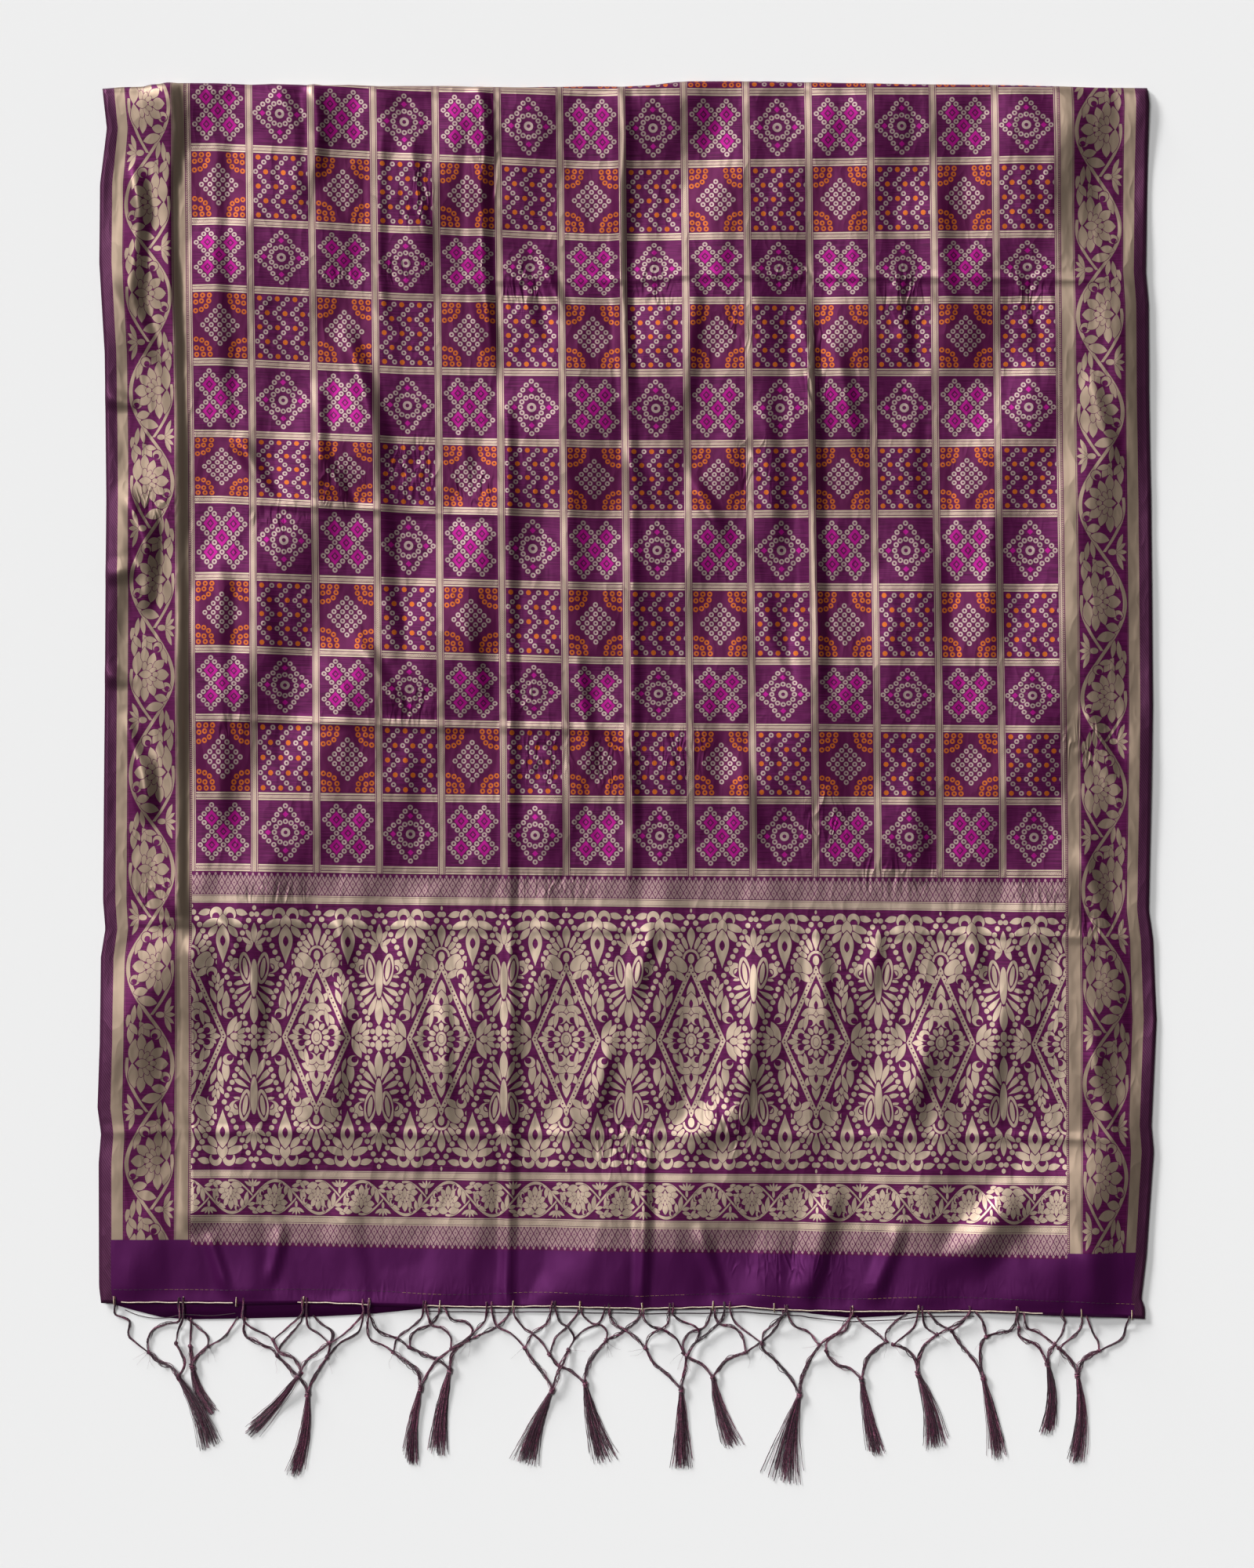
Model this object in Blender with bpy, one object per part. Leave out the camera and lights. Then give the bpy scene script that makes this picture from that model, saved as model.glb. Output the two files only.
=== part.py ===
# Woven brocade dupatta stole with knotted tassel ends, folded in half across its length and laid flat.
# The fold lies at +Y, the plain hems and the fringe of both ends at -Y, and the underside rests on Z = 0.
import math
from collections import namedtuple

import bmesh
import bpy
import numpy as np
from mathutils import Vector
from mathutils.bvhtree import BVHTree

MM = 0.001

# Driving sizes in millimetres.
# Places are given as "across", from the cloth's left edge, and "down", from the highest point of the fold.
CLOTH_WIDTH = 900.0
FOLD_TO_HEM = 1043.0
FOLD_TO_TIP = 1193.0
WALL = 1.1  # the upper half's cloth
UNDER_LAYER = 1.2  # the under half, where the cloth lies flat on it
SEAM_GAP = 0.35  # between two pieces that touch
FLOOR_GAP = 0.3  # between the fringe and the floor
FOLD_ROUND = 15.0  # how far back the soft fold curves
FOLD_RISE = 2.2  # how much the cloth stands up at the fold
FOLD_FADE = 60.0  # length over which that rise dies away
FOLD_RELIEF = 0.6  # share of the cloth's relief that reaches round the fold
UNDER_INSET = 2.0  # how far the under half's sides lie inside the upper half's
UNDER_BACK = 3.6  # how far its back edge lies inside the fold
UNDER_LEAST = 0.96  # where it is thinnest
UNDER_BULGE = 0.4  # its rounded edge stands out by this much at half height
UNDER_TUCK = 0.7  # and draws in by this much at the floor

# Fringe
HEM_CORD_R = 1.0  # cords from the hem to the first row of knots
BRANCH_CORD_R = 1.35  # cords from there to the tassels
SMALL_KNOT_R = 2.3
HEAD_KNOT_R = 3.1
KNOT_FLATTEN = 0.8
CORD_STEP = 10.0  # distance between the sections of a cord
CORD_SIDES = 4
CORD_FULLNESS = 1.1  # a four-sided cord is this much wider at its edges than the round one
CORD_ROLL = 0.37  # turn between one cord and the next, in radians, so that no two have level faces
STRANDS = 6  # locks in one tassel
STRAND_SECTIONS = 2
HEAD_LENGTH = 9.0
HEAD_HALF_WIDTH = 3.3
HEAD_HALF_HEIGHT = 1.25
NECK_HALF_WIDTH = 1.9
LOCK_GAP = 0.22  # between two locks where they leave the head
LOCK_HALF_WIDTH = 0.9  # at most
LOCK_TAPER = 0.45  # share of its width that a lock loses by its tip
LOCK_HALF_HEIGHT = 0.75  # at a lock's middle
LOCK_TIP_HALF = 0.35
LOCK_UNEVEN = 0.035  # step by which neighbouring locks differ, as a share of their length
SPREAD_LATE = 1.3  # locks stay together at first and spread towards their tips
OVER_HEM = 6.0  # how far the upper fringe's loops reach onto the hem
OFF_HEM = 0.5  # and how far their second point lies past its edge
UNDER_ROOT = 0.2  # how far past the lower edge the under fringe starts
FREE_FROM = 4.0  # points nearer to the edge than this are left out of a cord's route
LIFT_RAMP = 6.0  # length over which a cord climbs over another
EDGE_REACH = 3.6  # how near an edge a cord is already lifted clear of it
RAY_FROM = 60.0  # height from which the cloth's surface is looked for
LOOK_UP_STEP = 3.0  # spacing of the places that a later cord has to clear
LOCK_CLEAR = 1.0  # how near such a place in a tassel counts as touching

# Joining
MERGE_WITHIN = 0.01
UNION_TRIES = 8
HAIR_LARGER = 1.006
SMOOTH_ANGLE = 50.0  # faces that meet at less than this many degrees are shaded smooth

# The photo's outline. Left and right edge: how far the cloth's side lies inside its widest point.
Edge = namedtuple("Edge", "down inset")
LEFT_EDGE = [
    Edge(0, 3.5), Edge(41, 8), Edge(88, 2), Edge(155, 1.5), Edge(231, 6), Edge(358, 7.5), Edge(531, 6),
    Edge(697, 4.5), Edge(721, 6.5), Edge(745, 2.7), Edge(818, 2), Edge(873, 0), Edge(895, 3), Edge(920, 1),
    Edge(1025, 1.3), Edge(1043, 3.5),
]
RIGHT_EDGE = [
    Edge(0, 8.5), Edge(19, 6.7), Edge(163, 9.3), Edge(190, 7), Edge(265, 6.7), Edge(358, 4.7), Edge(531, 3.3),
    Edge(705, 6.7), Edge(730, 3), Edge(798, 0), Edge(888, 4.5), Edge(910, 2.5), Edge(998, 8.7),
    Edge(1035, 13), Edge(1043, 10),
]
# Fold line: how far it lies below its highest point. Hems: how far each lies below FOLD_TO_HEM.
Line = namedtuple("Line", "across below")
FOLD_LINE = [
    Line(0, 6.7), Line(35, 5), Line(58, 2), Line(77, 2), Line(200, 3.5), Line(330, 5), Line(450, 5),
    Line(485, 2), Line(503, 0), Line(560, 0.7), Line(700, 2.5), Line(800, 4.5), Line(900, 6),
]
UPPER_HEM = [
    Line(0, -4), Line(20, -3.3), Line(117, -2.7), Line(170, -3.3), Line(277, -0.3), Line(330, 0.7),
    Line(387, 0), Line(463, 2), Line(503, 1.3), Line(550, 0.3), Line(583, 3), Line(640, 4.7),
    Line(743, 4), Line(783, 5), Line(817, 6.7), Line(870, 8), Line(900, 9.5),
]
UNDER_HEM = [
    Line(0, -5), Line(24, 2), Line(50, 8.5), Line(73, 10), Line(117, 9.3), Line(183, 7.7), Line(230, 5.3),
    Line(277, 0.5), Line(300, -2), Line(570, -2), Line(605, 5), Line(642, 8.9), Line(683, 6.7),
    Line(705, 3), Line(735, 1.5), Line(900, 6),
]

# Section of the soft fold: share of FOLD_ROUND behind the foremost line, and share of the height.
FoldSection = namedtuple("FoldSection", "back rise")
FOLD_SECTION = [
    FoldSection(0.09, 0.0), FoldSection(0.0, 0.38), FoldSection(0.12, 0.74), FoldSection(0.42, 0.95),
    FoldSection(1.0, 1.0),
]

# The largest folds, each a soft ridge from a start to an end, with its own slope on each side.
# "before" is the slope's reach to the left of a ridge that runs down, or above one that runs across.
Fold = namedtuple("Fold", "name across0 down0 across1 down1 before after height fade")
FOLDS = [
    Fold("border pleat, upper part", 61, -20, 67, 725, 30, 5, 4.6, 25),
    Fold("border pleat, lower part", 75, 725, 78, 985, 5, 28, 4.2, 20),
    Fold("upper fold a third across", 325, -20, 334, 262, 16, 8, 4.6, 60),
    Fold("long fold a third across", 346, 262, 352, 1060, 9, 9, 3.0, 30),
    Fold("middle fold at the top", 447, -20, 451, 300, 11, 7, 4.4, 90),
    Fold("middle fold below it", 452, 240, 455, 705, 8, 8, 2.4, 90),
    Fold("middle fold at the hem", 467, 890, 468, 1060, 9, 7, 3.2, 40),
    Fold("fold two thirds across", 606, 175, 613, 540, 18, 10, 5.2, 60),
    Fold("fold beside it at the hem", 632, 925, 606, 1055, 22, 14, 4.6, 40),
    Fold("second column line, top", 183, -20, 184, 95, 12, 8, 2.8, 30),
    Fold("third column line, top", 238, 20, 242, 215, 10, 8, 2.2, 40),
    Fold("second column line, middle", 184, 250, 185, 362, 12, 9, 3.0, 30),
    Fold("corner fold, lower right", 792, 930, 730, 1012, 22, 30, 6.5, 35),
    Fold("corner swell, lower right", 850, 960, 862, 1060, 26, 22, 4.0, 40),
    Fold("packing crease, first", 290, 166, 905, 164, 8, 8, 1.9, 60),
    Fold("packing crease, second", 115, 359, 352, 366, 9, 9, 2.3, 40),
    Fold("packing crease, third", 77, 543, 460, 549, 9, 9, 2.3, 60),
    Fold("packing crease, fourth", -20, 716, 905, 722, 9, 9, 1.6, 60),
    Fold("packing crease, fifth", -20, 896, 905, 892, 9, 9, 1.7, 60),
    Fold("swell beside the middle, low", 478, 912, 560, 868, 24, 20, 3.6, 40),
]
# Slow rise and fall of the loose cloth between its folds.
Swell = namedtuple("Swell", "height across_wave down_wave shift")
SWELLS = [Swell(0.55, 310, 420, 0.4), Swell(0.45, 175, 240, 2.1)]

# Grid lines of the wall, close together beside the folds that they carry.
COLUMNS = [
    0, 20, 48, 61.5, 66.5, 75, 90, 118, 150, 176, 185, 196, 222, 240, 262, 295, 318, 327, 336, 346, 355,
    395, 447, 455, 467, 500, 545, 604, 613, 625, 675, 730, 792, 850, 900,
]
ROWS = [
    40, 90, 135, 157, 166, 176, 220, 262, 305, 348, 362, 376, 428, 482, 536, 547, 559, 630, 704,
    718, 732, 805, 883, 894, 906, 950, 1000, 1043,
]

# The knotted fringe. Each tassel hangs from two branches, and each branch from cords that loop through a hem.
# Points are (across, below FOLD_TO_HEM). Odd tassels belong to the upper hem, even ones to the under hem.
# A branch's first point is its small knot, and each hem cord ends there. A bend is the tassel's sideways bow.
Branch = namedtuple("Branch", "knot route hem_cords")
Tassel = namedtuple("Tassel", "head tip half_spread bend branches")
TASSELS = [
    Tassel((68.7, 58), (95, 118), 7, -3, [
        Branch((43.3, 38), [(51.3, 45.3), (62, 50.5)], [
            [(15, 6), (26.5, 11), (26, 23), (31, 29)],
            [(69.3, 10.7), (60, 13.5), (47.7, 18.3), (42.7, 27)]]),
        Branch((66.7, 30), [(71, 38), (74.5, 46), (72.5, 53)], [[(72.7, 9), (68.7, 19)]]),
    ]),
    Tassel((80, 49.5), (96.7, 90), 4, 3, [
        Branch((94, 32.7), [(89.8, 36), (83, 43)], [
            [(76, 12), (86, 17.7), (93.5, 24.5)],
            [(119, 11), (107.7, 24.7)]]),
        Branch((78.5, 33), [(79.5, 42)], [[(79.5, 11), (79, 22)]]),
    ]),
    Tassel((172.7, 55.3), (128, 107), 5, -2, [
        Branch((149.3, 27.3), [(154.7, 37.3), (166.3, 42.5), (172, 50)], [
            [(124, 9), (130, 16), (145, 24)],
            [(174, 5), (162.5, 15.8)]]),
        Branch((196.7, 30), [(180.3, 42.5), (174.7, 50)], [
            [(177.8, 7), (179.5, 16.5), (188, 22)],
            [(225.5, 5), (214, 18.3), (202, 27.5)]]),
    ]),
    Tassel((178.7, 72), (166.7, 142), 5, -3, [
        Branch((152.7, 41.3), [(165, 54), (173, 62)], [
            [(125.2, 11), (125.3, 24), (134.4, 29), (147, 35)],
            [(173, 12), (161, 26), (155.3, 33)]]),
        Branch((195, 42), [(184, 59), (180, 67)], [
            [(183, 8), (191, 14.5), (199.3, 21), (197.5, 33)],
            [(226.5, 8), (221.6, 20.7), (206.3, 30)]]),
    ]),
    Tassel((274.7, 67.3), (267, 132), 6, 2, [
        Branch((251.3, 38), [(265, 47.7), (272.7, 56.7)], [
            [(230.5, 6), (229.5, 18.3), (232, 27), (243, 32)],
            [(277, 2), (275.2, 8.7), (266.3, 17), (254.7, 26)]]),
        Branch((300.7, 34.7), [(294.3, 40), (287.5, 45.5), (280.3, 56.7)], [
            [(279, 2), (284, 14), (293, 17.7), (300, 25)],
            [(330.5, 4), (329, 11), (321, 19.6), (310.7, 28.5)]]),
    ]),
    Tassel((299.3, 52), (289, 124), 6, 2, [
        Branch((265.3, 34), [(277.7, 40), (289.2, 44.5)], [
            [(231, 9), (237, 18.7), (253.3, 26)],
            [(290, 5), (284, 14), (272.7, 18.3), (266.3, 25)]]),
        Branch((315.3, 27.3), [(305.8, 33.6), (300.7, 41)], [
            [(294, 4), (301, 10), (312, 12), (318.5, 19)],
            [(350, 5), (339, 16.4), (323, 24)]]),
    ]),
    Tassel((386.7, 69.3), (364, 132), 8, 2, [
        Branch((363, 34.7), [(372.7, 48.7), (381.6, 60.4)], [
            [(335, 4), (339, 15), (350.4, 21.3), (359, 29.5)],
            [(386, 4), (381.6, 13.3), (370, 22)]]),
        Branch((400, 36), [(395, 47.7), (390.5, 57)], [
            [(389, 4), (393, 12), (400, 17), (405, 26)],
            [(431, 5), (426.3, 12.7), (414.7, 18.3), (407, 25.3)]]),
    ]),
    Tassel((414, 63.3), (432, 131), 8, 2, [
        Branch((384, 40), [(391.8, 49.3), (400.7, 53.3)], [
            [(354.5, 6), (362, 17), (369.5, 22), (378.5, 31)],
            [(408, 5), (398.2, 17), (389.3, 26)]]),
        Branch((432, 28), [(422.4, 40), (416, 50)], [
            [(412, 6), (419.9, 13.3), (428, 15), (433, 21)],
            [(460.5, 8), (447.9, 19.6), (438, 25)]]),
    ]),
    Tassel((496, 68.7), (496.7, 136), 7, 0, [
        Branch((465.7, 34.7), [(472, 46.4), (482.3, 55.3)], [
            [(435, 6), (440.3, 14.5), (447.9, 19), (458, 26)],
            [(486, 6), (483.7, 14.5), (473, 20.5), (467.7, 27)]]),
        Branch((500.7, 40.7), [(499.3, 52)], [
            [(532.5, 4), (530, 11), (518, 22), (507, 31)],
            [(489, 6), (497, 11.5), (508, 16), (511, 24)]]),
    ]),
    Tassel((522.7, 58.7), (541, 118), 6, 2, [
        Branch((498, 38.7), [(503.3, 43.3), (513, 47.7)], [
            [(464.5, 8), (470.7, 16), (482.3, 19.6), (492, 27)],
            [(521, 6), (515.3, 17), (504, 20.7), (498.3, 29)]]),
        Branch((550.7, 38), [(541.6, 41.3), (532.7, 46.4)], [
            [(525, 6), (529, 13.9), (540.3, 17), (548, 24)],
            [(582, 8), (573.3, 21.3), (562, 30.7)]]),
    ]),
    Tassel((596.7, 73.3), (582, 147.2), 13, 2, [
        Branch((564.7, 30), [(566, 36), (577.3, 46.4), (588, 59)], [
            [(537.5, 4), (541.6, 12), (551.8, 20.7)],
            [(584, 5), (572, 15.8), (566, 22)]]),
        Branch((613.3, 31.3), [(605.3, 45), (599, 58)], [
            [(586, 6), (592.7, 15.8), (604, 20.7)],
            [(640, 8), (636, 18.7), (625.8, 22.7)]]),
    ]),
    Tassel((649.3, 60.7), (662, 125), 5, 1, [
        Branch((619.3, 36.7), [(622, 42.5), (629, 49), (638.5, 51.3)], [[(641, 12), (627.3, 23.3), (620, 29)]]),
        Branch((670.4, 29), [(665.3, 32.3), (656.4, 40), (651.9, 50)], [
            [(645, 12), (656.4, 17.7)],
            [(687, 8), (675, 15), (670, 22)]]),
    ]),
    Tassel((697, 55.3), (713, 118), 8, -3, [
        Branch((676, 31), [(688.3, 36), (694.7, 44)], [[(697, 8), (693.7, 17), (684.5, 25)]]),
        Branch((713.3, 22.7), [(702.7, 32.3), (698.4, 42)], [
            [(701, 8), (703.7, 16.5)],
            [(740.7, 6), (732, 12.7), (722.7, 17.3)]]),
    ]),
    Tassel((752.7, 59.3), (766, 128), 6, -1, [
        Branch((725.8, 19.6), [(732, 29.8), (739.9, 38.7), (747.5, 49)], [
            [(741, 7), (734, 14)],
            [(705.3, 6), (714.3, 13.3)]]),
        Branch((755.3, 24.7), [(751, 32), (750.3, 44)], [
            [(745, 7), (752.7, 12.5)],
            [(781.7, 8), (778, 18), (767, 21)]]),
    ]),
    Tassel((807.3, 46), (806.5, 108), 5, -4, [
        Branch((782.7, 17), [(782.5, 23), (788.3, 27.3), (798.5, 32.3)], [[(781.3, 5)]]),
        Branch((813.3, 30.7), [(809, 38)], [[(820, 6), (822.3, 12), (819.5, 22)]]),
    ]),
    Tassel((832.7, 56), (832, 131), 6, -4, [
        Branch((817.3, 34.7), [(826.6, 43.8)], [
            [(786.7, 9), (790, 17), (798.5, 20.7), (810, 28.5)],
            [(836, 9), (836.5, 15), (833, 21)]]),
        Branch((851.3, 36.7), [(841.9, 41), (836.3, 47)], [
            [(840, 9), (845.7, 20.7), (850.5, 29)],
            [(877, 9), (874, 15.6), (872.7, 23.3), (867.3, 28.9)]]),
    ]),
]

# Colour as linear RGB, roughness and metallic value, for each kind of piece.
Finish = namedtuple("Finish", "colour roughness metallic")
BROCADE = Finish((0.13, 0.03, 0.12), 0.45, 0.1)
UNDERSIDE = Finish((0.075, 0.012, 0.08), 0.55, 0.0)
THREAD = Finish((0.045, 0.012, 0.03), 0.6, 0.0)


def make_material(name, finish):
    # One plain material with the piece's colour
    material = bpy.data.materials.new(name)
    material.use_nodes = True
    shader = material.node_tree.nodes["Principled BSDF"]
    shader.inputs["Base Color"].default_value = (*finish.colour, 1.0)
    shader.inputs["Roughness"].default_value = finish.roughness
    shader.inputs["Metallic"].default_value = finish.metallic
    return material


def along(table, place, column):
    # Value of a table's second column at a place along its first one
    first = [row[0] for row in table]
    return float(np.interp(place, first, [getattr(row, column) for row in table]))


def fade(value):
    # Smooth step from 0 to 1
    value = min(max(value, 0.0), 1.0)
    return value * value * (3.0 - 2.0 * value)


def fold_height(fold, across, down):
    # Height that one fold adds at a place, with its own slope on each side and soft ends
    run = Vector((fold.across1 - fold.across0, fold.down1 - fold.down0))
    offset = Vector((across - fold.across0, down - fold.down0))
    length = run.length
    on_line = offset.dot(run) / length
    side = (offset.x * run.y - offset.y * run.x) / length
    reach = fold.after if side > 0 else fold.before
    end = fade(min(on_line, length - on_line) / fold.fade)
    return fold.height * end * fade(1.0 - abs(side) / reach)


def relief(across, down):
    # How far the upper half stands above where it would lie quite flat
    height = sum(fold_height(fold, across, down) for fold in FOLDS)
    for swell in SWELLS:
        wave = math.sin(2 * math.pi * across / swell.across_wave + swell.shift)
        wave *= math.cos(2 * math.pi * down / swell.down_wave + swell.shift)
        height += swell.height * (1 + wave)
    return height


def outline_place(across, down, hem):
    # Fits a place in the plain rectangle into the real outline, down to the hem given
    left = along(LEFT_EDGE, down, "inset")
    right = CLOTH_WIDTH - along(RIGHT_EDGE, down, "inset")
    top = along(FOLD_LINE, across, "below")
    bottom = FOLD_TO_HEM + along(hem, across, "below")
    return (
        left + (right - left) * across / CLOTH_WIDTH,
        top + (bottom - top) * down / FOLD_TO_HEM,
    )


def world(across, down, height):
    # Millimetres on the cloth to metres in the part's frame
    return Vector(((across - CLOTH_WIDTH / 2) * MM, (FOLD_TO_TIP / 2 - down) * MM, height * MM))


def outer_grid():
    # Points of the upper half's outer face, in millimetres: the soft fold's section first, then the rows
    flat_top = UNDER_LAYER + SEAM_GAP + WALL
    grid = []
    for section in FOLD_SECTION:
        row = []
        for across in COLUMNS:
            down = section.back * FOLD_ROUND
            place = outline_place(across, down, UPPER_HEM)
            top = flat_top + FOLD_RISE + relief(across, FOLD_ROUND) * FOLD_RELIEF
            row.append((*place, FLOOR_GAP + (top - FLOOR_GAP) * section.rise))
        grid.append(row)
    for down in ROWS:
        rise = FOLD_RISE * (1.0 - fade((down - FOLD_ROUND) / FOLD_FADE))
        row = []
        for across in COLUMNS:
            place = outline_place(across, down, UPPER_HEM)
            row.append((*place, flat_top + rise + relief(across, down)))
        grid.append(row)
    return np.array(grid)


def inward(grid):
    # Unit vectors square to the outer face, pointing into the cloth
    along_rows = np.gradient(grid, axis=0)
    along_columns = np.gradient(grid, axis=1)
    normal = np.cross(along_rows, along_columns)
    return normal / np.linalg.norm(normal, axis=2, keepdims=True)


def add_grid(mesh, grid):
    # Vertices of a grid of points given in millimetres
    return [[mesh.verts.new(world(*point)) for point in row] for row in grid]


def rim(verts):
    # The vertices round the edge of a grid, in order
    top = verts[0][:-1]
    right = [row[-1] for row in verts[:-1]]
    bottom = list(reversed(verts[-1][1:]))
    left = [row[0] for row in reversed(verts[1:])]
    return top + right + bottom + left


def skin(mesh, verts, outward):
    # Faces over a grid of vertices
    for upper, lower in zip(verts, verts[1:]):
        for column in range(len(upper) - 1):
            face = [upper[column], lower[column], lower[column + 1], upper[column + 1]]
            mesh.faces.new(face if outward else list(reversed(face)))


def join_rims(mesh, first, second):
    # A band of faces between two rims of equal length
    for index in range(len(first)):
        following = (index + 1) % len(first)
        mesh.faces.new([first[index], first[following], second[following], second[index]])


def finish_object(name, mesh, material):
    # Turns a bmesh into a named object, with its faces pointing out
    bmesh.ops.recalc_face_normals(mesh, faces=mesh.faces)
    data = bpy.data.meshes.new(name)
    mesh.to_mesh(data)
    mesh.free()
    data.materials.append(material)
    data.shade_smooth()
    data.set_sharp_from_angle(angle=math.radians(SMOOTH_ANGLE))
    placed = bpy.data.objects.new(name, data)
    bpy.context.scene.collection.objects.link(placed)
    return placed


def build_upper_half(material, outer, inner):
    # The half that shows: one wall that curves down round the fold and ends at the hem
    mesh = bmesh.new()
    outer_verts = add_grid(mesh, outer)
    inner_verts = add_grid(mesh, inner)
    skin(mesh, outer_verts, True)
    skin(mesh, inner_verts, False)
    join_rims(mesh, rim(outer_verts), rim(inner_verts))
    return finish_object("upper_half", mesh, material)


def every_second(count, start):
    # Indices of every second line from start, with the last one always kept
    picked = list(range(start, count, 2))
    if picked[-1] != count - 1:
        picked.append(count - 1)
    return picked


def under_grid(inner):
    # Top of the under half, below the lowest point of the wall in each of the wider cells round a point
    first_row = len(FOLD_SECTION)
    rows = every_second(len(inner), first_row)
    columns = every_second(len(COLUMNS), 0)
    grid = [[None] * len(columns) for _ in range(len(rows) + 1)]
    for number, row in enumerate(rows):
        row_from = rows[max(number - 1, 0)]
        row_to = rows[min(number + 1, len(rows) - 1)]
        for place, column in enumerate(columns):
            column_from = columns[max(place - 1, 0)]
            column_to = columns[min(place + 1, len(columns) - 1)]
            window = inner[row_from:row_to + 1, column_from:column_to + 1, 2]
            height = max(float(window.min()) - SEAM_GAP, UNDER_LEAST)
            across = min(max(COLUMNS[column], UNDER_INSET), CLOTH_WIDTH - UNDER_INSET)
            down = ROWS[row - first_row]
            grid[number + 1][place] = (*outline_place(across, down, UNDER_HEM), height)
    for place, column in enumerate(columns):
        across = min(max(COLUMNS[column], UNDER_INSET), CLOTH_WIDTH - UNDER_INSET)
        spot = outline_place(across, 0, UNDER_HEM)
        grid[0][place] = (spot[0], spot[1] + UNDER_BACK, UNDER_LAYER)
    return np.array(grid)


def build_under_half(material, top):
    # The hidden half: one solid with a rounded edge, flat where it rests
    mesh = bmesh.new()
    verts = add_grid(mesh, top)
    skin(mesh, verts, True)
    left = [row[0] for row in verts]
    right = [row[-1] for row in verts]
    belly = []
    foot = []
    edge = rim(verts)
    for vert in edge:
        away = Vector(((vert in right) - (vert in left), (vert in verts[0]) - (vert in verts[-1]), 0.0))
        belly_place = vert.co + away * UNDER_BULGE * MM
        belly_place.z = vert.co.z / 2
        foot_place = vert.co - away * UNDER_TUCK * MM
        foot_place.z = 0.0
        belly.append(mesh.verts.new(belly_place))
        foot.append(mesh.verts.new(foot_place))
    join_rims(mesh, edge, belly)
    join_rims(mesh, belly, foot)
    mesh.faces.new(list(reversed(foot)))
    return finish_object("under_half", mesh, material)


def smooth_route(points, step):
    # A smooth curve through the points, read at even steps: Catmull and Rom's spline
    points = [Vector(point) for point in points]
    padded = [2 * points[0] - points[1], *points, 2 * points[-1] - points[-2]]
    curve = []
    for before, start, end, after in zip(padded, padded[1:], padded[2:], padded[3:]):
        count = max(1, round((end - start).length / step))
        for number in range(count):
            t = number / count
            curve.append(0.5 * (2 * start + (end - before) * t
                                + (2 * before - 5 * start + 4 * end - after) * t * t
                                + (3 * start - before - 3 * end + after) * t * t * t))
    curve.append(points[-1])
    return curve


class Ground:
    # Heights that the fringe has to stay above: the floor, the cloth, and cords that already lie there

    def __init__(self, solids):
        depsgraph = bpy.context.evaluated_depsgraph_get()
        self.trees = [BVHTree.FromObject(solid, depsgraph) for solid in solids]
        self.cords = []

    def cloth_top(self, across, down, reach):
        # Highest cloth near a place, or 0
        highest = 0.0
        rings = [(0.0, 1), (reach * 0.5, 6), (reach, 8)]
        for radius, count in rings:
            for number in range(count):
                angle = 2 * math.pi * number / count
                spot = (across + radius * math.cos(angle), down + radius * math.sin(angle))
                origin = world(*spot, RAY_FROM)
                for tree in self.trees:
                    hit = tree.ray_cast(origin, Vector((0, 0, -1)))[0]
                    if hit is not None:
                        highest = max(highest, hit.z / MM)
        return highest

    def axis_height(self, across, down, half_height):
        # Height of a cord's middle at a place
        height = FLOOR_GAP + half_height
        cloth = self.cloth_top(across, down, EDGE_REACH)
        if cloth > 0:
            height = max(height, cloth + SEAM_GAP + half_height)
        for other_across, other_down, top, other_half in self.cords:
            distance = math.hypot(across - other_across, down - other_down)
            clear = other_half + half_height + CORD_STEP / 2
            share = 1.0 - (distance - clear) / LIFT_RAMP
            if share > 0:
                needed = top + SEAM_GAP + half_height
                base = FLOOR_GAP + half_height
                height = max(height, base + (needed - base) * min(share, 1.0))
        return height


def hem_below(across):
    # The lower of the two hems at a place
    return max(along(UPPER_HEM, across, "below"), along(UNDER_HEM, across, "below"))


def rooted(route, over_the_hem):
    # A hem cord's points with its root at the hem: over the upper hem, or just in front of the lower edge
    across = route[0][0]
    if over_the_hem:
        edge = along(UPPER_HEM, across, "below")
        root = [(across, edge - OVER_HEM), (across, edge + OFF_HEM)]
    else:
        edge = hem_below(across)
        root = [(across, edge + UNDER_ROOT)]
    return root + [point for point in route if point[1] > edge + FREE_FROM]


def tube(points, radius, roll):
    # A closed tube of a few sides along points in millimetres, with flat ends, turned by roll about its line
    mesh = bmesh.new()
    rings = []
    for number, point in enumerate(points):
        ahead = points[min(number + 1, len(points) - 1)]
        behind = points[max(number - 1, 0)]
        run = Vector((ahead[0] - behind[0], ahead[1] - behind[1], 0.0))
        run.normalize()
        sideways = Vector((run.y, -run.x, 0.0))
        ring = []
        for side in range(CORD_SIDES):
            angle = 2 * math.pi * side / CORD_SIDES + roll
            offset = sideways * math.cos(angle) * radius * CORD_FULLNESS
            height = point[2] + math.sin(angle) * radius * CORD_FULLNESS
            ring.append(mesh.verts.new(world(point[0] + offset.x, point[1] + offset.y, height)))
        rings.append(ring)
    for first, second in zip(rings, rings[1:]):
        for side in range(CORD_SIDES):
            following = (side + 1) % CORD_SIDES
            mesh.faces.new([first[side], first[following], second[following], second[side]])
    mesh.faces.new(list(reversed(rings[0])))
    mesh.faces.new(rings[-1])
    return mesh


def knot_ball(place, radius):
    # A small flattened knot
    mesh = bmesh.new()
    bmesh.ops.create_icosphere(mesh, subdivisions=1, radius=radius * MM)
    bmesh.ops.scale(mesh, vec=(1.0, 1.0, KNOT_FLATTEN), verts=mesh.verts)
    bmesh.ops.translate(mesh, vec=world(*place), verts=mesh.verts)
    return mesh


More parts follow.
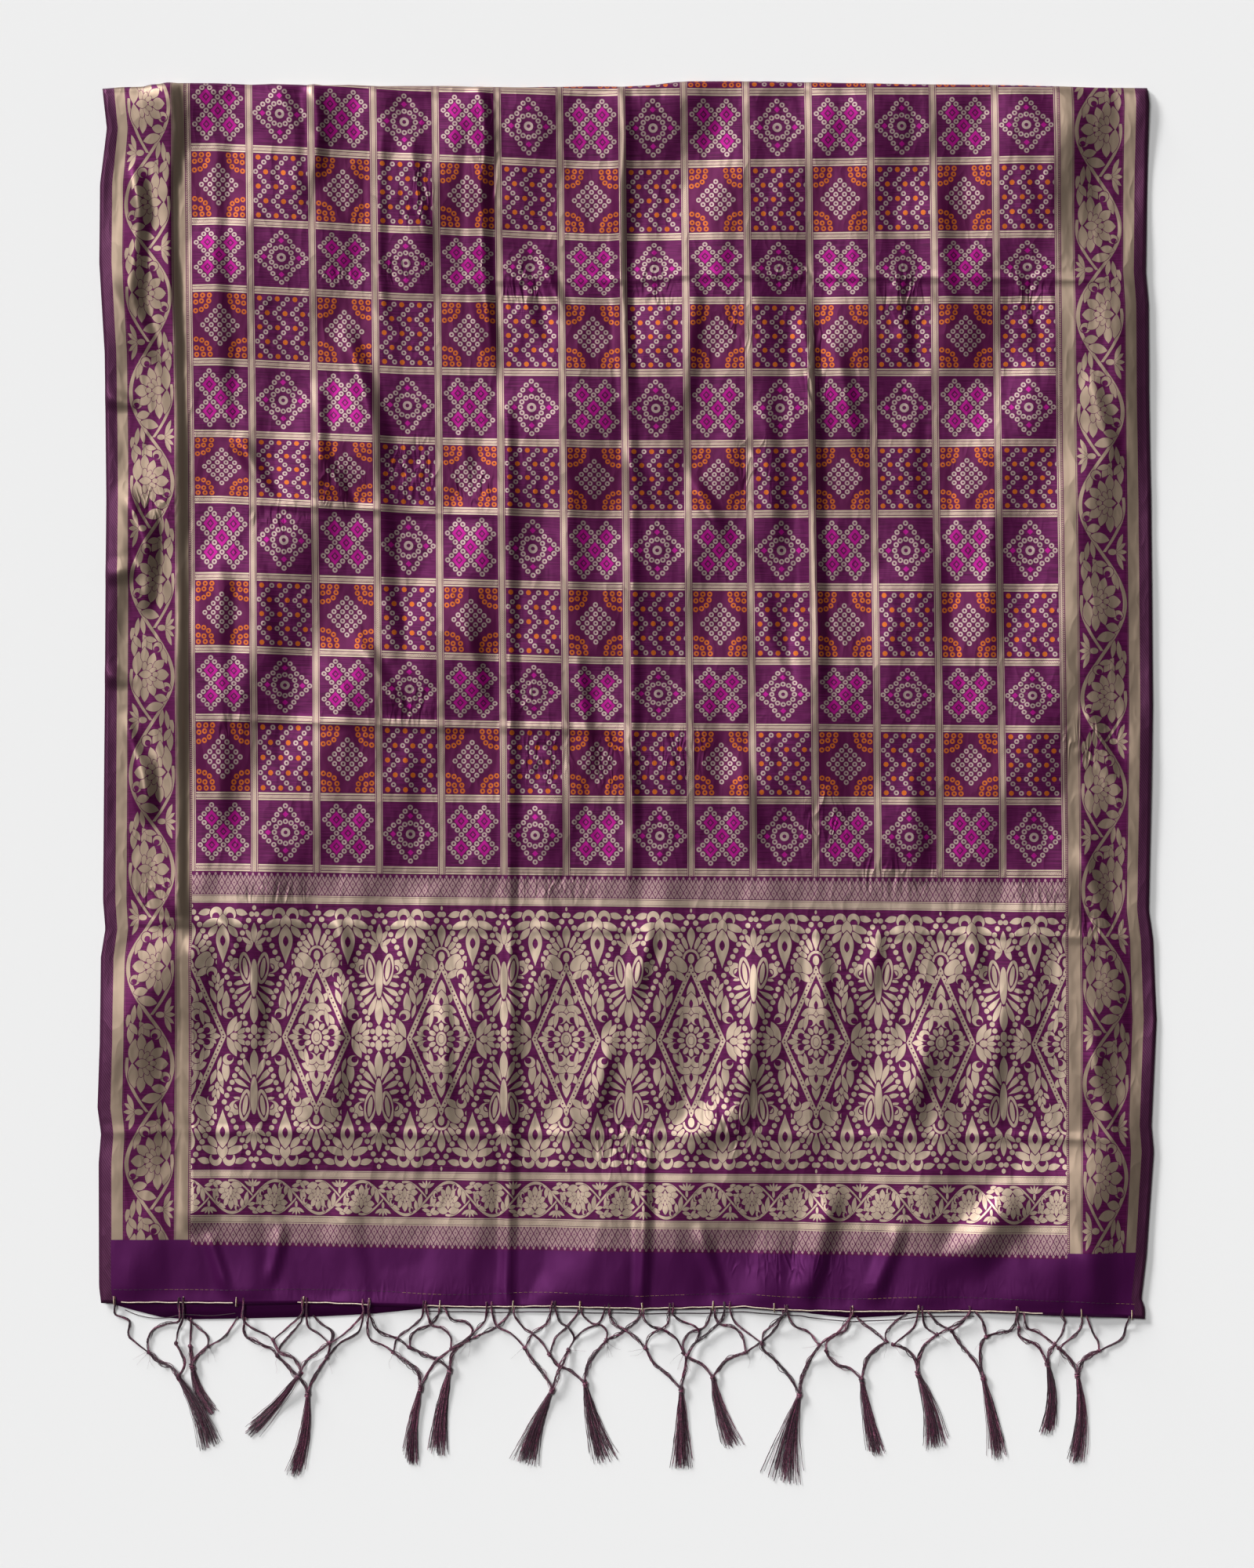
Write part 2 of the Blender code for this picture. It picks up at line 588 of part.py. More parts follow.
def tassel_body(tassel, ground):
    # The tassel's head with its locks: the head's end is cut into cells, and every second one is drawn out
    mesh = bmesh.new()
    head = Vector(tassel.head)
    tip = Vector(tassel.tip)
    run = tip - head
    length = run.length
    run.normalize()
    sideways = Vector((-run.y, run.x))
    lines = 2 * STRANDS
    lock_width = (2 * HEAD_HALF_WIDTH - (STRANDS - 1) * LOCK_GAP) / STRANDS
    edges = []
    reach = -HEAD_HALF_WIDTH
    for number in range(lines):
        edges.append(reach)
        reach += lock_width if number % 2 == 0 else LOCK_GAP

    def centre(distance):
        bow = tassel.bend * math.sin(math.pi * min(distance / length, 1.0))
        return head + run * distance + sideways * bow

    def level(distance):
        # One height for the whole width of the tassel there
        reading = []
        for share in (-1.0, 0.0, 1.0):
            half = HEAD_HALF_WIDTH + (tassel.half_spread - HEAD_HALF_WIDTH) * distance / length
            spot = centre(distance) + sideways * share * half
            reading.append(ground.axis_height(spot.x, spot.y, HEAD_HALF_HEIGHT))
        return max(reading)

    def vertex(distance, offset, height):
        spot = centre(distance) + sideways * offset
        return mesh.verts.new(world(spot.x, spot.y, height))

    start_level = level(0.0)
    end_level = level(HEAD_LENGTH)
    neck_top = [vertex(0.0, side * NECK_HALF_WIDTH, start_level + HEAD_HALF_HEIGHT) for side in (-1, 1)]
    neck_low = [vertex(0.0, side * NECK_HALF_WIDTH, start_level - HEAD_HALF_HEIGHT) for side in (-1, 1)]
    end_top = [vertex(HEAD_LENGTH, edge, end_level + HEAD_HALF_HEIGHT) for edge in edges]
    end_low = [vertex(HEAD_LENGTH, edge, end_level - HEAD_HALF_HEIGHT) for edge in edges]
    for neck, end in ((neck_top, end_top), (neck_low, end_low)):
        for number in range(lines - 1):
            mesh.faces.new([neck[number >= STRANDS], end[number], end[number + 1]])
        mesh.faces.new([neck[0], end[STRANDS], neck[1]])
    mesh.faces.new([neck_top[0], end_top[0], end_low[0], neck_low[0]])
    mesh.faces.new([neck_top[1], neck_low[1], end_low[-1], end_top[-1]])
    mesh.faces.new([neck_top[0], neck_low[0], neck_low[1], neck_top[1]])
    for number in range(1, lines - 1, 2):
        mesh.faces.new([end_top[number], end_top[number + 1], end_low[number + 1], end_low[number]])
    for lock in range(STRANDS):
        first = 2 * lock
        ring = [end_top[first], end_top[first + 1], end_low[first + 1], end_low[first]]
        start_middle = (edges[first] + edges[first + 1]) / 2
        place = 2 * lock / (STRANDS - 1) - 1
        uneven = 1.0 - LOCK_UNEVEN * (lock * 3 % 5)
        for section in range(1, STRAND_SECTIONS + 1):
            share = section / STRAND_SECTIONS
            distance = HEAD_LENGTH + (length - HEAD_LENGTH) * share * uneven
            spread = tassel.half_spread * place
            middle = start_middle + (spread - start_middle) * share ** SPREAD_LATE
            half_spread = HEAD_HALF_WIDTH + (tassel.half_spread - HEAD_HALF_WIDTH) * share
            room = half_spread / STRANDS - LOCK_GAP / 2
            half_width = min(room, LOCK_HALF_WIDTH) * (1.0 - LOCK_TAPER * share * share)
            half_height = HEAD_HALF_HEIGHT + (LOCK_HALF_HEIGHT - HEAD_HALF_HEIGHT) * min(1.0, 2 * share)
            if section == STRAND_SECTIONS:
                half_height = LOCK_TIP_HALF
            low = level(distance) - HEAD_HALF_HEIGHT
            new_ring = [
                vertex(distance, middle - half_width, low + 2 * half_height),
                vertex(distance, middle + half_width, low + 2 * half_height),
                vertex(distance, middle + half_width, low),
                vertex(distance, middle - half_width, low),
            ]
            for side in range(4):
                following = (side + 1) % 4
                mesh.faces.new([ring[side], ring[following], new_ring[following], new_ring[side]])
            ring = new_ring
        mesh.faces.new(ring)
    bmesh.ops.recalc_face_normals(mesh, faces=mesh.faces)
    return mesh


def tidied(data):
    # A mesh without the points and slivers that a union leaves closer together than a hundredth of a millimetre
    mesh = bmesh.new()
    mesh.from_mesh(data)
    bmesh.ops.remove_doubles(mesh, verts=mesh.verts, dist=MERGE_WITHIN)
    bmesh.ops.dissolve_degenerate(mesh, edges=mesh.edges, dist=MERGE_WITHIN)
    bmesh.ops.triangulate(mesh, faces=mesh.faces)
    return mesh


def is_whole(mesh, *parts):
    # True if the union is closed and holds at least as much as its largest part
    closed = all(len(edge.link_faces) == 2 for edge in mesh.edges)
    return closed and mesh.calc_volume() > 0.999 * max(part.calc_volume() for part in parts)


def union_of(first, second):
    # The union of two closed meshes
    objects = []
    for mesh in (first, second):
        data = bpy.data.meshes.new("union part")
        mesh.to_mesh(data)
        placed = bpy.data.objects.new("union part", data)
        bpy.context.scene.collection.objects.link(placed)
        objects.append(placed)
    union = objects[0].modifiers.new("union", "BOOLEAN")
    union.operation = "UNION"
    union.solver = "EXACT"
    union.object = objects[1]
    bpy.context.view_layer.update()
    depsgraph = bpy.context.evaluated_depsgraph_get()
    result = tidied(bpy.data.meshes.new_from_object(objects[0].evaluated_get(depsgraph)))
    for placed in objects:
        bpy.data.objects.remove(placed)
    return result


def fuse(name, pieces, material):
    # Joins the closed pieces of one tassel into a single body, in millimetres, where the union is surest.
    # Where two faces nearly touch, a union can fail: it is tried again with the piece a hair larger.
    for mesh in pieces:
        bmesh.ops.scale(mesh, vec=(1 / MM, 1 / MM, 1 / MM), verts=mesh.verts)
        bmesh.ops.recalc_face_normals(mesh, faces=mesh.faces)
    joined = pieces[0]
    for mesh in pieces[1:]:
        middle = sum((vert.co for vert in mesh.verts), Vector()) / len(mesh.verts)
        for attempt in range(UNION_TRIES):
            result = union_of(mesh, joined) if attempt % 2 else union_of(joined, mesh)
            if is_whole(result, joined, mesh):
                break
            result.free()
            result = None
            for vert in mesh.verts:
                vert.co = middle + (vert.co - middle) * HAIR_LARGER
        if result is None:
            raise RuntimeError(f"{name} has a piece that can't be joined, with {len(mesh.verts)} points")
        joined.free()
        mesh.free()
        joined = result
    bmesh.ops.scale(joined, vec=(MM, MM, MM), verts=joined.verts)
    finish_object(name, joined, material)


def cord_points(route, radius, ground):
    # Sections along a cord, each with its height
    points = []
    for spot in smooth_route(route, CORD_STEP):
        height = ground.axis_height(spot.x, spot.y, radius)
        points.append((spot.x, spot.y, height))
    return points


def lay_down(tassel):
    # The tassel's places as "down" from the fold instead of "below" the hem
    def lowered(point):
        return (point[0], point[1] + FOLD_TO_HEM)

    branches = []
    for branch in tassel.branches:
        branches.append(Branch(
            lowered(branch.knot),
            [lowered(point) for point in branch.route],
            branch.hem_cords,
        ))
    return tassel._replace(head=lowered(tassel.head), tip=lowered(tassel.tip), branches=branches)


def build_tassel(number, tassel, ground, material):
    # One tassel with its net, up to the hem. Returns the places that later cords have to climb over.
    over_the_hem = number % 2 == 1
    tassel = lay_down(tassel)
    head_height = ground.axis_height(*tassel.head, HEAD_KNOT_R * KNOT_FLATTEN)
    pieces = [tassel_body(tassel, ground), knot_ball((*tassel.head, head_height), HEAD_KNOT_R)]
    crossed = [(*tassel.head, head_height + HEAD_KNOT_R * KNOT_FLATTEN, HEAD_KNOT_R)]
    for branch in tassel.branches:
        knot_height = ground.axis_height(*branch.knot, SMALL_KNOT_R * KNOT_FLATTEN)
        pieces.append(knot_ball((*branch.knot, knot_height), SMALL_KNOT_R))
        crossed.append((*branch.knot, knot_height + SMALL_KNOT_R * KNOT_FLATTEN, SMALL_KNOT_R))
        down_route = [branch.knot, *branch.route, tassel.head]
        cords = [(down_route, BRANCH_CORD_R)]
        for hem_cord in branch.hem_cords:
            route = [(x, y + FOLD_TO_HEM) for x, y in rooted(hem_cord, over_the_hem)]
            cords.append((route + [branch.knot], HEM_CORD_R))
        for route, radius in cords:
            points = cord_points(route, radius, ground)
            pieces.append(tube(points, radius, CORD_ROLL * len(pieces)))
            fine = smooth_route([point[:2] for point in points], LOOK_UP_STEP)
            heights = np.interp(np.linspace(0, 1, len(fine)), np.linspace(0, 1, len(points)),
                                [point[2] for point in points])
            crossed += [(spot.x, spot.y, float(height) + radius, radius) for spot, height in zip(fine, heights)]
    run = Vector(tassel.tip) - Vector(tassel.head)
    sideways = Vector((-run.y, run.x)).normalized()
    steps = round(run.length / LOOK_UP_STEP)
    for step in range(steps + 1):
        share = step / steps
        half = HEAD_HALF_WIDTH + (tassel.half_spread - HEAD_HALF_WIDTH) * share
        bow = tassel.bend * math.sin(math.pi * share)
        for side in (-1.0, -0.5, 0.0, 0.5, 1.0):
            spot = Vector(tassel.head) + run * share + sideways * (bow + half * side)
            crossed.append((spot.x, spot.y, FLOOR_GAP + 2 * HEAD_HALF_HEIGHT, LOCK_CLEAR))
    fuse(f"tassel_{number:02d}", pieces, material)
    return crossed


def build():
    for old in list(bpy.data.objects):
        bpy.data.objects.remove(old)

    brocade = make_material("woven brocade", BROCADE)
    underside = make_material("under half", UNDERSIDE)
    outer = outer_grid()
    inner = outer + inward(outer) * WALL
    under = under_grid(inner)
    upper_half = build_upper_half(brocade, outer, inner)
    under_half = build_under_half(underside, under)

    # The under hem's tassels lie lowest, so they come first, and the upper hem's climb over them
    ground = Ground([upper_half, under_half])
    for number in [*range(2, len(TASSELS) + 1, 2), *range(1, len(TASSELS) + 1, 2)]:
        thread = make_material(f"fringe thread {number:02d}", THREAD)
        crossed = build_tassel(number, TASSELS[number - 1], ground, thread)
        if number % 2 == 0:
            ground.cords += crossed


build()
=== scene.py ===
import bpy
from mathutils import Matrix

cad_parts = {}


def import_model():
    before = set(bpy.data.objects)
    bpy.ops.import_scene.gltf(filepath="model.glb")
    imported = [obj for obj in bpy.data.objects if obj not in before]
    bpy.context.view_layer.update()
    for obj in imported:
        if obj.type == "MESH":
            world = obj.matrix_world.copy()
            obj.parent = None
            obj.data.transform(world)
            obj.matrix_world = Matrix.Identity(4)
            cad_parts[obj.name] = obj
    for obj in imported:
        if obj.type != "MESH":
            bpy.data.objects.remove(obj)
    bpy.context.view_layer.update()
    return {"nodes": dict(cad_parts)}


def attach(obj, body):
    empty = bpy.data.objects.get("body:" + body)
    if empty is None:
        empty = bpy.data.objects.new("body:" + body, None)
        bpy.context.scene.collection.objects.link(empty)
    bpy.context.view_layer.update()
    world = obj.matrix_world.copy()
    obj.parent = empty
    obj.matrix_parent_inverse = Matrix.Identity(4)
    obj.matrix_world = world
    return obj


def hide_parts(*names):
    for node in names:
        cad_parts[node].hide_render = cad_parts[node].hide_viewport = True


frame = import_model()

import ast
import bisect
import math
import random
from collections import namedtuple

import bmesh
import bpy
from mathutils import Vector, noise
from mathutils.bvhtree import BVHTree

mm = 0.001

# Places on the part are given in mm as "across", from the cloth's left edge, and "down", from the top of the fold.
# Places in the weave are u, across the loom, and v, along the cloth from the first line of the squared field.
lie = {
    "width": 900.0,
    "foldToHem": 1043.0,
    "foldToTip": 1193.0,
    "flatTop": 2.65,  # top of the upper layer where it lies flat
    "foldRound": 15.0,
    "foldRise": 2.2,
    "foldFade": 60.0,
    "underTop": 1.15,
    "underInset": 2.0,
    "layerGap": 0.9,  # least height of the upper layer's face over the under layer
    "backHeight": 0.35,  # where the cloth ends behind the fold
    "calmEdge": 14.0,  # how far in from its edges the cloth lies calmer
    "edgeLooseness": 0.35,
}


def world(across, down, height):
    return Vector(((across - lie["width"] / 2) * mm, (lie["foldToTip"] / 2 - down) * mm, height * mm))


def hexColour(text):
    # sRGB hex to the linear colour that the shaders use
    values = [int(text[i:i + 2], 16) / 255 for i in (0, 2, 4)]
    return (*[v / 12.92 if v <= 0.04045 else ((v + 0.055) / 1.055) ** 2.4 for v in values], 1.0)


def addNode(tree, kind, settings=None, links=None):
    # One node with its settings; a link's value is a socket to join, or a plain value
    node = tree.nodes.new(kind)
    for name, value in (settings or {}).items():
        setattr(node, name, value)
    for key, value in (links or {}).items():
        if isinstance(value, bpy.types.NodeSocket):
            tree.links.new(value, node.inputs[key])
        else:
            node.inputs[key].default_value = value
    return node


def newMaterial(name):
    material = bpy.data.materials.new(name)
    material.use_nodes = True
    return material, material.node_tree, material.node_tree.nodes["Principled BSDF"]


mathNames = {
    ast.Add: "ADD", ast.Sub: "SUBTRACT", ast.Mult: "MULTIPLY", ast.Div: "DIVIDE", ast.Mod: "FLOORED_MODULO",
    "abs": "ABSOLUTE", "min": "MINIMUM", "max": "MAXIMUM", "round": "ROUND", "sin": "SINE", "cos": "COSINE",
    "atan2": "ARCTAN2", "sqrt": "SQRT", "wrap": "WRAP", "pingpong": "PINGPONG", "less": "LESS_THAN",
    "more": "GREATER_THAN", "near": "COMPARE",
}


def drawMaths(tree, text, **known):
    # Turns lines such as "r = sqrt(x * x + y * y)" into Math nodes; gives every named value back
    def build(part):
        if isinstance(part, ast.Constant):
            return float(part.value)
        if isinstance(part, ast.Name):
            return known[part.id]
        if isinstance(part, ast.UnaryOp):
            return -build(part.operand)
        if isinstance(part, ast.BinOp):
            kind, parts = mathNames[type(part.op)], [part.left, part.right]
        else:
            kind, parts = mathNames[part.func.id], part.args
        values = [build(each) for each in parts]
        return addNode(tree, "ShaderNodeMath", {"operation": kind}, dict(enumerate(values))).outputs[0]

    for line in ast.parse(text.strip()).body:
        known[line.targets[0].id] = build(line.value)
    return known


# Motifs of the weave, drawn from these shapes. p runs along a shape and q across it, both 1 at its ends.
shapeMaths = {
    "leaf": "f = 1 - abs(q) - p * p",
    "oval": "f = 1 - sqrt(p * p + q * q)",
    "drop": "f = 1 - abs(q) / max(0.62 + 0.38 * p, 0.1) - p * p",
    "ring": "f = 0.24 - abs(0.76 - sqrt(p * p + q * q))",
    "arch": "f = min(0.13 - abs(0.87 - sqrt(p * p + q * q)), p)",
    "curl": "c = p - 0.42\nf = min(1 - sqrt(p * p + q * q), sqrt(c * c + q * q) - 0.6)",
}
Shape = namedtuple("Shape", "kind x y angle length width")  # half sizes in mm, angle in degrees from +x to +y
clearEdge = 0.13  # outline that each shape clears round itself, as a share of its size


def drawMotif(tree, x, y, shapes, figure):
    # Adds shapes to a figure whose value is above 0 inside. A hole only clears.
    # A twin is drawn on both sides of y = 0.
    point = addNode(tree, "ShaderNodeCombineXYZ", None, {0: x, 1: y}).outputs[0]
    folded = drawMaths(tree, "far = abs(y)", y=y)["far"]
    mirrored = addNode(tree, "ShaderNodeCombineXYZ", None, {0: x, 1: folded}).outputs[0]
    for shape in shapes:
        *twin, form = shape.kind.split()
        local = addNode(tree, "ShaderNodeMapping", {"vector_type": "TEXTURE"}, {
            "Vector": mirrored if twin else point,
            "Location": (shape.x, shape.y, 0.0),
            "Rotation": (0.0, 0.0, math.radians(shape.angle)),
            "Scale": (shape.length, shape.width, 1.0),
        })
        parts = addNode(tree, "ShaderNodeSeparateXYZ", None, {0: local.outputs[0]})
        hole = form == "hole"
        f = drawMaths(tree, shapeMaths["leaf" if hole else form], p=parts.outputs[0], q=parts.outputs[1])["f"]
        ending = "g = min(figure, 0 - f)" if hole else "g = max(min(figure, 0 - edge - f), f)"
        figure = drawMaths(tree, ending, figure=figure, f=f, edge=clearEdge)["g"]
    return figure


# Plan of the weave, in mm of u and v
plan = {
    "selvage": 10.0,
    "outerStripe": 21.0,
    "flowerBand": 62.0,
    "innerStripe": 76.0,
    "fieldEnd": 824.0,
    "columns": 14,
    "rows": 11,
    "rowPitch": 62.4,
    "bandHalf": 3.4,  # half width of the lines between the squares
    "templeStart": 690.0,
    "templeEnd": 709.0,
    "panelStart": 716.5,
    "panelMiddle": 830.1,
    "panelEnd": 943.7,
    "panelInner": 37.0,  # the end panel's three zones, counted from its middle line
    "panelOuter": 77.0,
    "vineStart": 950.5,
    "vineEnd": 981.5,
    "secondTemple": 988.7,
    "patternEnd": 1003.0,
    "teeth": 5.0,
    "hem": 1058.0,
    "flowerCell": 82.7,  # half the repeat of the flower borders
    "leftFlowers": 26.2,  # where the first whole flower of each border lies
    "rightFlowers": 34.8,
}
plan["columnPitch"] = (plan["fieldEnd"] - plan["innerStripe"]) / plan["columns"]

print("stage: colours and cloths")

colours = {name: hexColour(text) for name, text in {
    "silk": "520f42",
    "silkDark": "430c34",
    "silkLight": "5e1a4c",
    "hemSilk": "4b0f49",
    "warmSilk": "51103d",
    "zari": "ae9c8b",
    "zariPale": "bfae9a",
    "zariDull": "9f8d7c",
    "ringZari": "998581",
    "borderZari": "8e7c6c",
    "mauve": "957a7a",
    "magenta": "980c74",
    "orange": "ac551c",
    "selvage": "461d3a",
    "selvageTwill": "5c3450",
    "threadDark": "170512",
    "thread": "40122d",
    # The next two are lighter copies of the thread colour: painted sheen and painted glints on the threads that take
    # them
    "threadPaintedSheen": "6e2148",
    "threadPaintedGlint": "a8607c",
    "goldThread": "a08058",
    "goldThreadDark": "5c4026",
    "creamThread": "e4d6c0",
}.items()}

silkLook = {
    "twillPitch": 1.25,  # drawn coarse: the real diagonal is about 0.8 mm and wouldn't show
    "twillSteepness": 0.75,
    "twillDepth": 0.000013,  # depths in m
    "crumpleDepth": 0.0011,
    "gatherDepth": 0.0035,
    "tones": (0.3, 0.5, 0.78),  # levels of the slub noise that give the dark, middle and light silk
    "silkRoughness": 0.44,
    "silkMetal": 0.45,  # silk reflects in its own colour, as a metal does
    "silkSpecular": 0.18,
    "zariRoughness": 0.46,
    "zariMetal": 0.7,
    "beadRim": 0.55,  # silk left clear round a line of beads, in mm
}
silkNoises = {  # size of a wave in mm of u and v, its turn, and settings
    "slub": ((26, 0.9), 0.0, {"Detail": 2.0}),
    "crumple": ((17, 38), 0.25, {"Detail": 2.0, "Roughness": 0.45}),
    "gather": ((8, 26), 0.0, {"Detail": 1.0, "Roughness": 0.5, "Distortion": 0.4}),
}


def clothMaterial(name, pattern, ground="silk", zari="zari", dye="magenta", twill=1.0, motif=None, creases=1.0):
    # Silk brocade: a lustrous silk ground with floats of flat metal thread, which gleam by their slope.
    # pattern gives "gold", above 0 where metal thread shows, or the "start" of a motif and the "beads" over it.
    # It may give "dyed" too, above 0 where dyed silk shows.
    material, tree, shader = newMaterial(name)
    weave = addNode(tree, "ShaderNodeUVMap", {"uv_map": "weave"}).outputs[0]
    parts = addNode(tree, "ShaderNodeSeparateXYZ", None, {0: weave})
    u, v = parts.outputs[0], parts.outputs[1]
    sizes = {key: float(value) for key, value in plan.items()}
    known = drawMaths(tree, pattern, u=u, v=v, width=lie["width"], **sizes)
    gold = drawMotif(tree, known["x"], known["y"], motif, known["start"]) if motif else known["gold"]
    if "beads" in known:
        gold = drawMaths(tree, "gold = max(min(gold, 0 - rim - beads), beads)",
                         gold=gold, beads=known["beads"], rim=silkLook["beadRim"])["gold"]
    look = drawMaths(tree, """
mask = more(gold, 0)
line = sin((u + v * steep) * twist)
pale = line * 0.5 + 0.5
metal = silkShare + mask * metalShare
rough = silkRough + mask * roughStep
height = line * deep
strength = mask * 0.5 + 0.1
""", gold=gold, u=u, v=v, steep=silkLook["twillSteepness"], twist=2 * math.pi / silkLook["twillPitch"],
                     metalShare=silkLook["zariMetal"] - silkLook["silkMetal"], silkShare=silkLook["silkMetal"],
                     silkRough=silkLook["silkRoughness"], deep=silkLook["twillDepth"] * twill,
                     roughStep=silkLook["zariRoughness"] - silkLook["silkRoughness"])
    noises = {}
    for part, (size, turn, settings) in silkNoises.items():
        place = addNode(tree, "ShaderNodeMapping", None, {
            "Vector": weave, "Rotation": (0, 0, turn), "Scale": (1 / size[0], 1 / size[1], 1.0)})
        noises[part] = addNode(tree, "ShaderNodeTexNoise", {"noise_dimensions": "2D"}, {
            "Vector": place.outputs[0], "Scale": 1.0, **settings}).outputs[0]
    tones = ("silkDark", "silk", "silkLight") if ground == "silk" else (ground,) * 3
    ramp = addNode(tree, "ShaderNodeValToRGB", None, {0: noises["slub"]})
    ramp.color_ramp.elements.new(silkLook["tones"][1])
    for element, level, tone in zip(ramp.color_ramp.elements, silkLook["tones"], tones):
        element.position = level
        element.color = colours[tone]
    colour = ramp.outputs[0]
    if "dyed" in known:
        dyedMask = drawMaths(tree, "m = more(dyed, 0)", dyed=known["dyed"])["m"]
        colour = addNode(tree, "ShaderNodeMix", {"data_type": "RGBA"}, {
            "Factor": dyedMask, 6: colour, 7: colours[dye]}).outputs[2]
    dull = "zariDull" if zari.startswith("zari") else zari
    twillColour = addNode(tree, "ShaderNodeMix", {"data_type": "RGBA"}, {
        "Factor": look["pale"], 6: colours[dull], 7: colours[zari]}).outputs[2]
    colour = addNode(tree, "ShaderNodeMix", {"data_type": "RGBA"}, {
        "Factor": look["mask"], 6: colour, 7: twillColour}).outputs[2]
    share = addNode(tree, "ShaderNodeAttribute", {"attribute_name": "gathered"}).outputs["Fac"]
    fold = drawMaths(tree, "fold = abs(crumple - 0.5) * depth + abs(gather - 0.5) * share * gatherDepth",
                     crumple=noises["crumple"], gather=noises["gather"], share=share,
                     depth=silkLook["crumpleDepth"] * creases, gatherDepth=silkLook["gatherDepth"])["fold"]
    crease = addNode(tree, "ShaderNodeBump", None, {"Height": fold, "Distance": 1.0, "Strength": 1.0})
    bump = addNode(tree, "ShaderNodeBump", None, {
        "Height": look["height"], "Distance": 1.0, "Strength": look["strength"], "Normal": crease.outputs[0]})
    links = {"Base Color": colour, "Metallic": look["metal"], "Roughness": look["rough"], "Normal": bump.outputs[0]}
    for socket, value in links.items():
        tree.links.new(value, shader.inputs[socket])
    shader.inputs["Specular IOR Level"].default_value = silkLook["silkSpecular"]
    return material


# The squares, about their middles: x and y in mm, y towards the hem
squareStart = """
x = (u - innerStripe) % columnPitch - columnPitch / 2
y = v % rowPitch - rowPitch / 2
"""
diamondSquare = """
a = x / 3.3 + y / 3.89
b = x / 3.3 - y / 3.89
da = a % 2 - 1
db = b % 2 - 1
na = abs(a - da)
nb = abs(b - db)
dx = (da + db) * 1.65
dy = (da - db) * 1.945
r = sqrt(dx * dx + dy * dy)
inside = near(min(na, nb), 2, 1.5) * less(max(na, nb), 9.5)
onLine = max(near(abs(na - 6), 3, 0.5), near(abs(nb - 6), 3, 0.5))
gold = (0.66 - abs(r - 1.55)) * inside * onLine
fa = wrap(a, 3, -3)
fb = wrap(b, 3, -3)
cross = less(min(abs(a), abs(b)), 3) * less(max(abs(a), abs(b)), 9)
f = max(abs(fa), abs(fb))
dyed = min(min(1.85 - f, abs(f - 0.72) - 0.22), cross - 0.5)
"""
rosetteSquare = """
r = sqrt(x * x + y * y)
angle = atan2(y, x) / 0.5236
turn = (angle - round(angle)) * 0.5236
cx = r * cos(turn) - 9.6
cy = r * sin(turn)
circle = 0.66 - abs(sqrt(cx * cx + cy * cy) - 1.6)
ax = abs(x)
ay = abs(y)
gold = max(circle, 1.15 - abs(r - 2.85))
dyed = max(2.6 - abs(x) - abs(ay - 15.8), 2.6 - abs(y) - abs(ax - 14.9))
"""
rosetteRings = [(0, 23.2), (4.4, 19.8), (7.4, 15.4), (10, 10.8), (14.4, 7.6), (18.2, 3.9), (21.2, 0)]
latticeSquare = """
a = x / 3.7 + y / 3.9
b = x / 3.7 - y / 3.9
da = wrap(a, 1, -1)
db = wrap(b, 1, -1)
na = abs(a - da)
nb = abs(b - db)
dx = (da + db) * 1.85
dy = (da - db) * 1.95
r = sqrt(dx * dx + dy * dy)
gold = (0.64 - abs(r - 1.5)) * less(max(na, nb), 4.5)
ax = abs(x)
ay = abs(y)
dyed = 0 - 1
"""
cornerRings = [
    (20.5, 24.9), (14.5, 24.9), (8.6, 24.9), (20.6, 19.3), (15.6, 20.2), (9.2, 20.1), (20.8, 12), (15.8, 12.9),
    (11.6, 15.6),
]
ringSize = {"radius": 1.55, "half": 0.66}
zigzagSquare = """
row = round(y / 4.06)
lean = 5.4 - pingpong(row + 6, 3) * 3.6
dx = wrap(x + 0.8 - lean, 7.6, -7.6)
dy = y - row * 4.06
gold = (0.64 - abs(sqrt(dx * dx + dy * dy) - 1.5)) * less(abs(row), 6.5)
third = round(y / 12.18)
side = 3.2 - abs(third % 2) * 6.5
ox = wrap(x + 0.8 + side, 7.6, -7.6)
oy = y - third * 12.18
dyed = 2.15 - sqrt(ox * ox + oy * oy)
"""


def ringsAt(places, target):
    # Maths lines that add a small ring to the target at each place of one quarter of a square
    lines = """
ex = ax - {}
ey = ay - {}
{} = max({}, {half} - abs(sqrt(ex * ex + ey * ey) - {radius}))
"""
    return "".join(lines.format(x, y, target, target, **ringSize) for x, y in places)


# The lines between the squares: a twisted rope down the cloth, a slanted hatch across it
ropeBand = """
x = wrap(u - innerStripe, columnPitch / 2, 0 - columnPitch / 2)
slant = abs(x) * 1.3 + v
rope = min(1.75 - abs(x), 0.32 - abs(slant % 1.9 - 0.95) * 0.42)
edge = 0.3 - abs(abs(x) - 2.65)
gold = max(rope, edge)
"""
hatchBand = """
y = wrap(v, rowPitch / 2, 0 - rowPitch / 2)
hatch = min(1.3 - abs(y), abs((u + y * 0.6) % 1.5 - 0.75) - 0.2)
edge = 0.62 - abs(abs(y) - 2.55)
gold = max(hatch, edge)
"""
